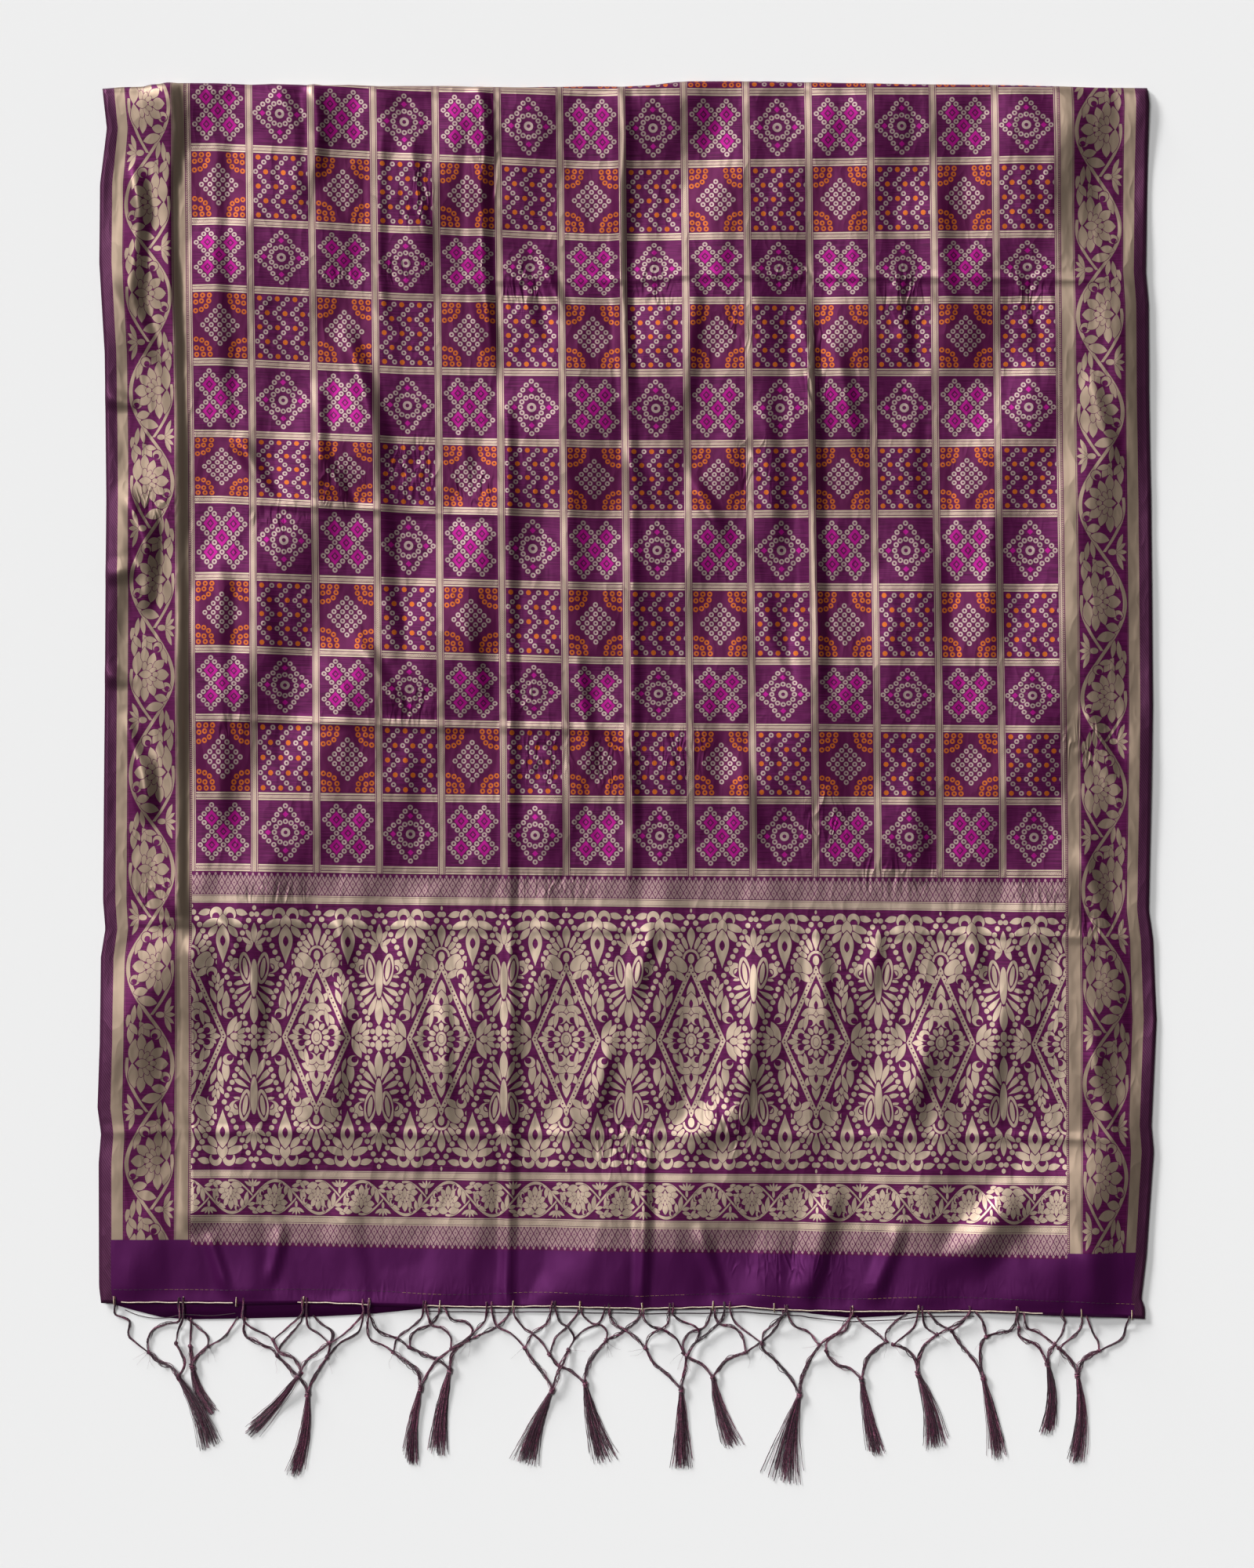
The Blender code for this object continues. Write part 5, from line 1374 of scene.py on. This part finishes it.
hemWork = {
    "seed": 77,
    "loopsAt": [14, 73, 118, 175, 231, 291, 353, 410, 463, 523, 575, 642, 698, 781, 836, 879],
    "loopThread": 0.34,
    "loopAbove": 6.5,  # how far a loop reaches above and below the edge of the hem
    "loopBelow": 2.0,
    "loopGap": 0.6,
    "loopArch": 0.9,
    "creamRuns": [(20, 115), (170, 232), (277, 803)],
    "creamRadius": 0.5,
    "creamAbove": 1.4,
    "stitchFrom": 14,
    "stitchLength": 3.0,
    "stitchGap": 1.3,
    "stitchAbove": 12.5,
    "stitchRadius": 0.16,
    "headerRun": (277, 745),
    "headerBelow": 3.4,
    "headerRadius": 0.4,
    # A long loose end that sags below the left corner
    "looseEnd": [(23, 1045), (34, 1049.5), (47, 1052), (60, 1051.5), (73, 1049), (95, 1050), (117, 1048)],
    "looseRadius": 0.33,
}


def sway(size, place, lane):
    # A slow wander to each side along the hem
    return size * noise.noise(Vector((place, lane, 0)))


def makeHemWork():
    # The loops that hold the fringe, the cream cord and stitches along the hem, and the header thread below it
    chance = random.Random(hemWork["seed"])
    bundle = ThreadBundle("hemThreads", [goldLook, creamLook, threadLooks[0]])
    for across in hemWork["loopsAt"]:
        for turn in range(2):
            lean = chance.uniform(-0.8, 0.8)
            points = []
            for step in range(9):
                share = step / 8
                down = hemAt(across) - hemWork["loopAbove"] + (hemWork["loopAbove"] + hemWork["loopBelow"]) * share
                x = across + (turn - 0.5) * hemWork["loopGap"] + lean * (share - 0.5)
                height = max(clothTop(x, down), clothTop(x, down - 1.2)) + 0.25
                height += hemWork["loopArch"] * math.sin(math.pi * share)
                points.append((x, down, height if share < 0.8 else max(height, 2.2)))
            bundle.add(points, hemWork["loopThread"] * chance.uniform(0.7, 1.0), 0 if turn else 1, taper=0.9)
    for first, last in hemWork["creamRuns"]:
        count = round((last - first) / 3)
        points = []
        for step in range(count + 1):
            across = first + (last - first) * step / count
            down = hemAt(across) - hemWork["creamAbove"] - sway(0.7, across * 0.09, 2)
            points.append((across, down, clothTop(across, down) + 0.12))
        bundle.add(points, hemWork["creamRadius"], 1)
    across = hemWork["stitchFrom"]
    while across < lie["width"] - 20:
        row = hemWork["stitchAbove"] + sway(1.6, across * 0.012, 8)
        points = []
        for step in range(4):
            x = across + hemWork["stitchLength"] * step / 3
            down = hemAt(x) - row
            points.append((x, down, clothTop(x, down) + 0.05 + 0.12 * math.sin(math.pi * step / 3)))
        waxed = noise.noise(Vector((across * 0.02, 3, 3))) > 0.1
        bundle.add(points, hemWork["stitchRadius"], 0 if waxed else 2)
        across += hemWork["stitchLength"] + hemWork["stitchGap"]
    first, last = hemWork["headerRun"]
    points = []
    for across in range(first, last + 1, 4):
        edge = max(hemAt(across), hemAt(across, underHem))
        down = edge + hemWork["headerBelow"] + sway(1.1, across * 0.03, 6)
        points.append((across, down, 1.6 + 0.3 * math.sin(across * 0.1)))
    bundle.add(points, hemWork["headerRadius"], 2)
    arc = smoothRoute(hemWork["looseEnd"], 3)
    heights = [max(clothTop(spot.x, spot.y), 0.3) + 0.5 for spot in arc]
    bundle.add([(spot.x, spot.y, height) for spot, height in zip(arc, heights)], hemWork["looseRadius"], 2)
    return bundle.finish()


hemThreads = makeHemWork()

print("stage: floor, light and camera")

studio = {
    "cameraHeight": 4.2,
    "lens": 85.0,
    "frameHeight": 2000 / 1.5 * mm,
    "floorSize": 30.0,
    "paper": "efefef",
    "roomLight": 0.07,
    "backdropLight": 0.78,  # the pale backdrop near the floor, which only low views see
    "backdropFall": 3.2,
    "lights": [  # name, way it comes from, its width in degrees, its strength
        ("topLight", (-0.34, 0.30, 1.0), 20, 1.5),
        ("keyLight", (-1.0, 0.85, 0.55), 14, 2.7),
        ("lowLight", (-0.6, 1.0, 0.26), 24, 2.0),
    ],
}


def makeStudio():
    scene = bpy.context.scene
    floorMesh = bmesh.new()
    bmesh.ops.create_grid(floorMesh, x_segments=1, y_segments=1, size=studio["floorSize"])
    data = bpy.data.meshes.new("paleFloor")
    floorMesh.to_mesh(data)
    floorMesh.free()
    paper, _, shader = newMaterial("matt paper")
    shader.inputs["Base Color"].default_value = hexColour(studio["paper"])
    shader.inputs["Roughness"].default_value = 0.9
    data.materials.append(paper)
    floor = bpy.data.objects.new("paleFloor", data)
    scene.collection.objects.link(floor)
    room = bpy.data.worlds.new("studio")
    room.use_nodes = True
    backdrop = room.node_tree.nodes["Background"]
    backdrop.inputs[0].default_value = (1, 1, 1, 1)
    way = addNode(room.node_tree, "ShaderNodeTexCoord").outputs["Generated"]
    rise = addNode(room.node_tree, "ShaderNodeSeparateXYZ", None, {0: way}).outputs[2]
    level = drawMaths(room.node_tree, """
low = min(max(1 - rise * fall, 0), 1)
level = overhead + low * low * horizon
""", rise=rise, fall=studio["backdropFall"], overhead=studio["roomLight"], horizon=studio["backdropLight"])["level"]
    room.node_tree.links.new(level, backdrop.inputs[1])
    scene.world = room
    for name, way, width, strength in studio["lights"]:
        light = bpy.data.lights.new(name, "SUN")
        light.angle = math.radians(width)
        light.energy = strength
        lamp = bpy.data.objects.new(name, light)
        lamp.location = way
        lamp.rotation_euler = (-Vector(way)).to_track_quat("-Z", "Y").to_euler()
        scene.collection.objects.link(lamp)
    camera = bpy.data.cameras.new("camera")
    camera.lens = studio["lens"]
    camera.sensor_fit = "VERTICAL"
    camera.sensor_height = studio["frameHeight"] * studio["lens"] / studio["cameraHeight"]
    view = bpy.data.objects.new("camera", camera)
    view.location = (0.0, -0.0015, studio["cameraHeight"])
    scene.collection.objects.link(view)
    scene.camera = view
    scene.view_settings.view_transform = "Standard"


makeStudio()
